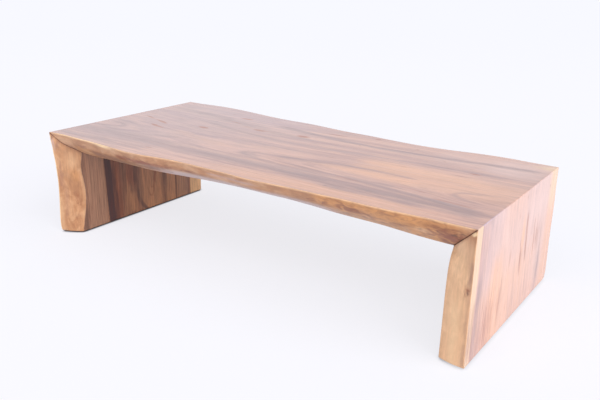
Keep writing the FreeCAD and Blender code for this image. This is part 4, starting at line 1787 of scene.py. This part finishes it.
@dataclass(frozen=True)
class StudioFloor:
    """A pale seamless floor that reaches out of sight, a little cooler far off to the left."""

    reach: float = 60.0
    paper: str = "#EEF0FE"
    near_white: str = "#FBFBFF"
    far_white: str = "#F8F9FF"
    cooler_towards: tuple[float, float, float] = (-0.6, 0.8, 0.0)
    cooler_from: float = -1.5
    cooler_to: float = 9.0
    seen_white: float = 0.78
    contact: float = 0.022
    contact_dark: float = 0.22
    contact_clear: float = 0.86
    thinner_from: float = 0.66
    thinner_to: float = 0.84
    thinnest: float = 0.80

    def build(self) -> bpy.types.Object:
        """Lay the floor at Z = 0.

        Returns:
            The floor, marked as not part of the object.
        """
        ends = [(x * self.reach, y * self.reach, 0.0) for x, y in ((-1, -1), (1, -1), (1, 1), (-1, 1))]
        mesh = bpy.data.meshes.new("studio_floor")
        mesh.from_pydata(ends, [], [(0, 1, 2, 3)])
        mesh.materials.append(self.material())
        floor = bpy.data.objects.new("studio_floor", mesh)
        bpy.context.scene.collection.objects.link(floor)
        return floor

    def material(self) -> bpy.types.Material:
        """Build matt white paper that keeps its shadow, and is lifted to white where it is seen.

        Under the feet the glowing white is dimmed where little is open within the contact distance: a
        painted contact shadow. It is painted fainter towards the right by X alone, from thinner_from to
        thinner_to, on the side of the wide lamp.

        Returns:
            The material.
        """
        material, tree = empty_material("studio_paper_matt_white")
        place = add_node(tree, "ShaderNodeTexCoord").outputs["Object"]
        away = add_node(tree, "ShaderNodeVectorMath", {"operation": "DOT_PRODUCT"}, {
            0: place, 1: self.cooler_towards,
        }).outputs["Value"]
        x = add_node(tree, "ShaderNodeSeparateXYZ", None, {"Vector": place}).outputs["X"]
        cool, painted_shade_limit = (
            add_node(tree, "ShaderNodeMapRange", {"interpolation_type": "SMOOTHSTEP"}, {
                "Value": value, "From Min": low, "From Max": high, "To Max": most,
            }).outputs["Result"]
            for value, low, high, most in (
                (away, self.cooler_from, self.cooler_to, 1.0),
                (x, self.thinner_from, self.thinner_to, self.thinnest),
            )
        )
        # Painted contact shadow: the emitted white dims where the ambient occlusion is low, less so
        # towards +X
        openness = add_node(tree, "ShaderNodeAmbientOcclusion", None, {"Distance": self.contact})
        contact = add_node(tree, "ShaderNodeMapRange", {"interpolation_type": "SMOOTHSTEP"}, {
            "Value": openness.outputs["AO"], "From Min": self.contact_dark,
            "From Max": self.contact_clear, "To Min": painted_shade_limit,
        })
        white = add_node(tree, "ShaderNodeMix", {"data_type": "RGBA"}, {
            0: cool, 6: linear(self.near_white), 7: linear(self.far_white),
        })
        matt = add_node(tree, "ShaderNodeBsdfDiffuse", None, {"Color": linear(self.paper)})
        lit = add_node(tree, "ShaderNodeEmission", None, {
            "Color": white.outputs[2], "Strength": contact.outputs["Result"],
        })
        part = add_node(tree, "ShaderNodeMixShader", None, {
            0: self.seen_white, 1: matt.outputs["BSDF"], 2: lit.outputs["Emission"],
        })
        seen = add_node(tree, "ShaderNodeMixShader", None, {
            0: rays_that_see_white(tree), 1: matt.outputs["BSDF"], 2: part.outputs["Shader"],
        })
        add_node(tree, "ShaderNodeOutputMaterial", None, {"Surface": seen.outputs["Shader"]})
        return material


class Softbox(NamedTuple):
    """A wide lamp: its name, where it shines from, its level, its width in degrees, its tint."""

    name: str
    towards: tuple[float, float, float]
    level: float
    width: float
    tint: str


@dataclass(frozen=True)
class StudioLight:
    """Plain soft light: an even room, a wide lamp on the right and one in front."""

    room_light: str = "#F3F1FF"
    room_level: float = 0.40
    room_seen: str = "#F9FAFF"
    lamps: tuple[Softbox, ...] = (
        Softbox("right_softbox", (0.90, -0.10, 0.47), 0.92, 60.0, "#FFFDF8"),
        Softbox("front_softbox", (0.15, -0.86, 0.48), 0.66, 70.0, "#FFFDF9"),
    )

    def build(self) -> None:
        """Light the room for diffuse rays at its level, show it white, and set up the lamps.

        The lamps don't show in reflections, so the satin top doesn't clip to white.
        """
        world = bpy.data.worlds.new("studio_room")
        bpy.context.scene.world = world
        world.use_nodes = True
        tree = world.node_tree
        tree.nodes.clear()
        seen = rays_that_see_white(tree)
        level = add_node(tree, "ShaderNodeMapRange", None, {
            "Value": seen, "To Min": self.room_level, "To Max": 1.0,
        })
        tint = add_node(tree, "ShaderNodeMix", {"data_type": "RGBA"}, {
            0: seen, 6: linear(self.room_light), 7: linear(self.room_seen),
        })
        room = add_node(tree, "ShaderNodeBackground", None, {
            "Color": tint.outputs[2], "Strength": level.outputs["Result"],
        })
        add_node(tree, "ShaderNodeOutputWorld", None, {"Surface": room.outputs["Background"]})
        for lamp in self.lamps:
            light = bpy.data.lights.new(lamp.name, "SUN")
            light.energy = lamp.level * np.pi
            light.angle = np.radians(lamp.width)
            light.color = linear(lamp.tint)[:3]
            holder = bpy.data.objects.new(lamp.name, light)
            holder.visible_glossy = False
            bpy.context.scene.collection.objects.link(holder)
            back = np.array(lamp.towards) / np.linalg.norm(lamp.towards)
            holder.matrix_world = facing(back, np.zeros(3), 0.0)


def facing(back: Array, place: Array, roll: float) -> Matrix:
    """Matrix of a camera or lamp at a place.

    Its Z axis is the backward direction, its X axis is level and square to that, and both other
    axes are then turned by the roll.

    Args:
        back: Unit vector from what is looked at towards the camera or lamp.
        place: Where it stands.
        roll: Turn about the line of sight, in radians.

    Returns:
        The matrix, for matrix_world.
    """
    right = np.cross((0.0, 0.0, 1.0), back)
    right /= np.linalg.norm(right)
    up = np.cross(back, right)
    turned_right = np.cos(roll) * right + np.sin(roll) * up
    turned_up = np.cos(roll) * up - np.sin(roll) * right
    columns = np.stack([turned_right, turned_up, back, place], axis=1)
    return Matrix(np.vstack([columns, (0.0, 0.0, 0.0, 1.0)]).tolist())


@dataclass(frozen=True)
class StudioCamera:
    """The camera, a little above the table and off its front right corner."""

    place: tuple[float, float, float] = (1.3908, -1.9124, 1.0267)
    yaw: float = -34.980
    pitch: float = -19.107
    roll: float = 0.858
    lens: float = 41.453

    def build(self) -> bpy.types.Object:
        """Make the camera and hand it to the scene.

        Returns:
            The camera.
        """
        yaw, pitch, roll = np.radians([self.yaw, self.pitch, self.roll])
        ahead = np.array([np.sin(yaw) * np.cos(pitch), np.cos(yaw) * np.cos(pitch), np.sin(pitch)])
        data = bpy.data.cameras.new("studio_camera")
        data.lens = self.lens
        data.sensor_width = 36.0
        data.clip_end = 200.0
        camera = bpy.data.objects.new("studio_camera", data)
        bpy.context.scene.collection.objects.link(camera)
        camera.matrix_world = facing(-ahead, np.array(self.place), roll)
        bpy.context.scene.camera = camera
        return camera


def main() -> None:
    """Build the studio, the slabs and the hardware."""
    logging.basicConfig(level=logging.INFO, format="%(message)s")
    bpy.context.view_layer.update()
    StudioCamera().build()
    StudioLight().build()
    StudioFloor().build()
    table = WaterfallTable()
    finishes = table.finishes()
    for slab in table.slabs():
        piece = slab.build(finishes)
        LOG.info("%s: %d faces", piece.name, len(piece.data.polygons))
    for name in table.dress_hardware():
        LOG.info("%s: dressed", name)
    bpy.context.scene.view_settings.view_transform = "Standard"


if __name__ == "__main__":
    main()
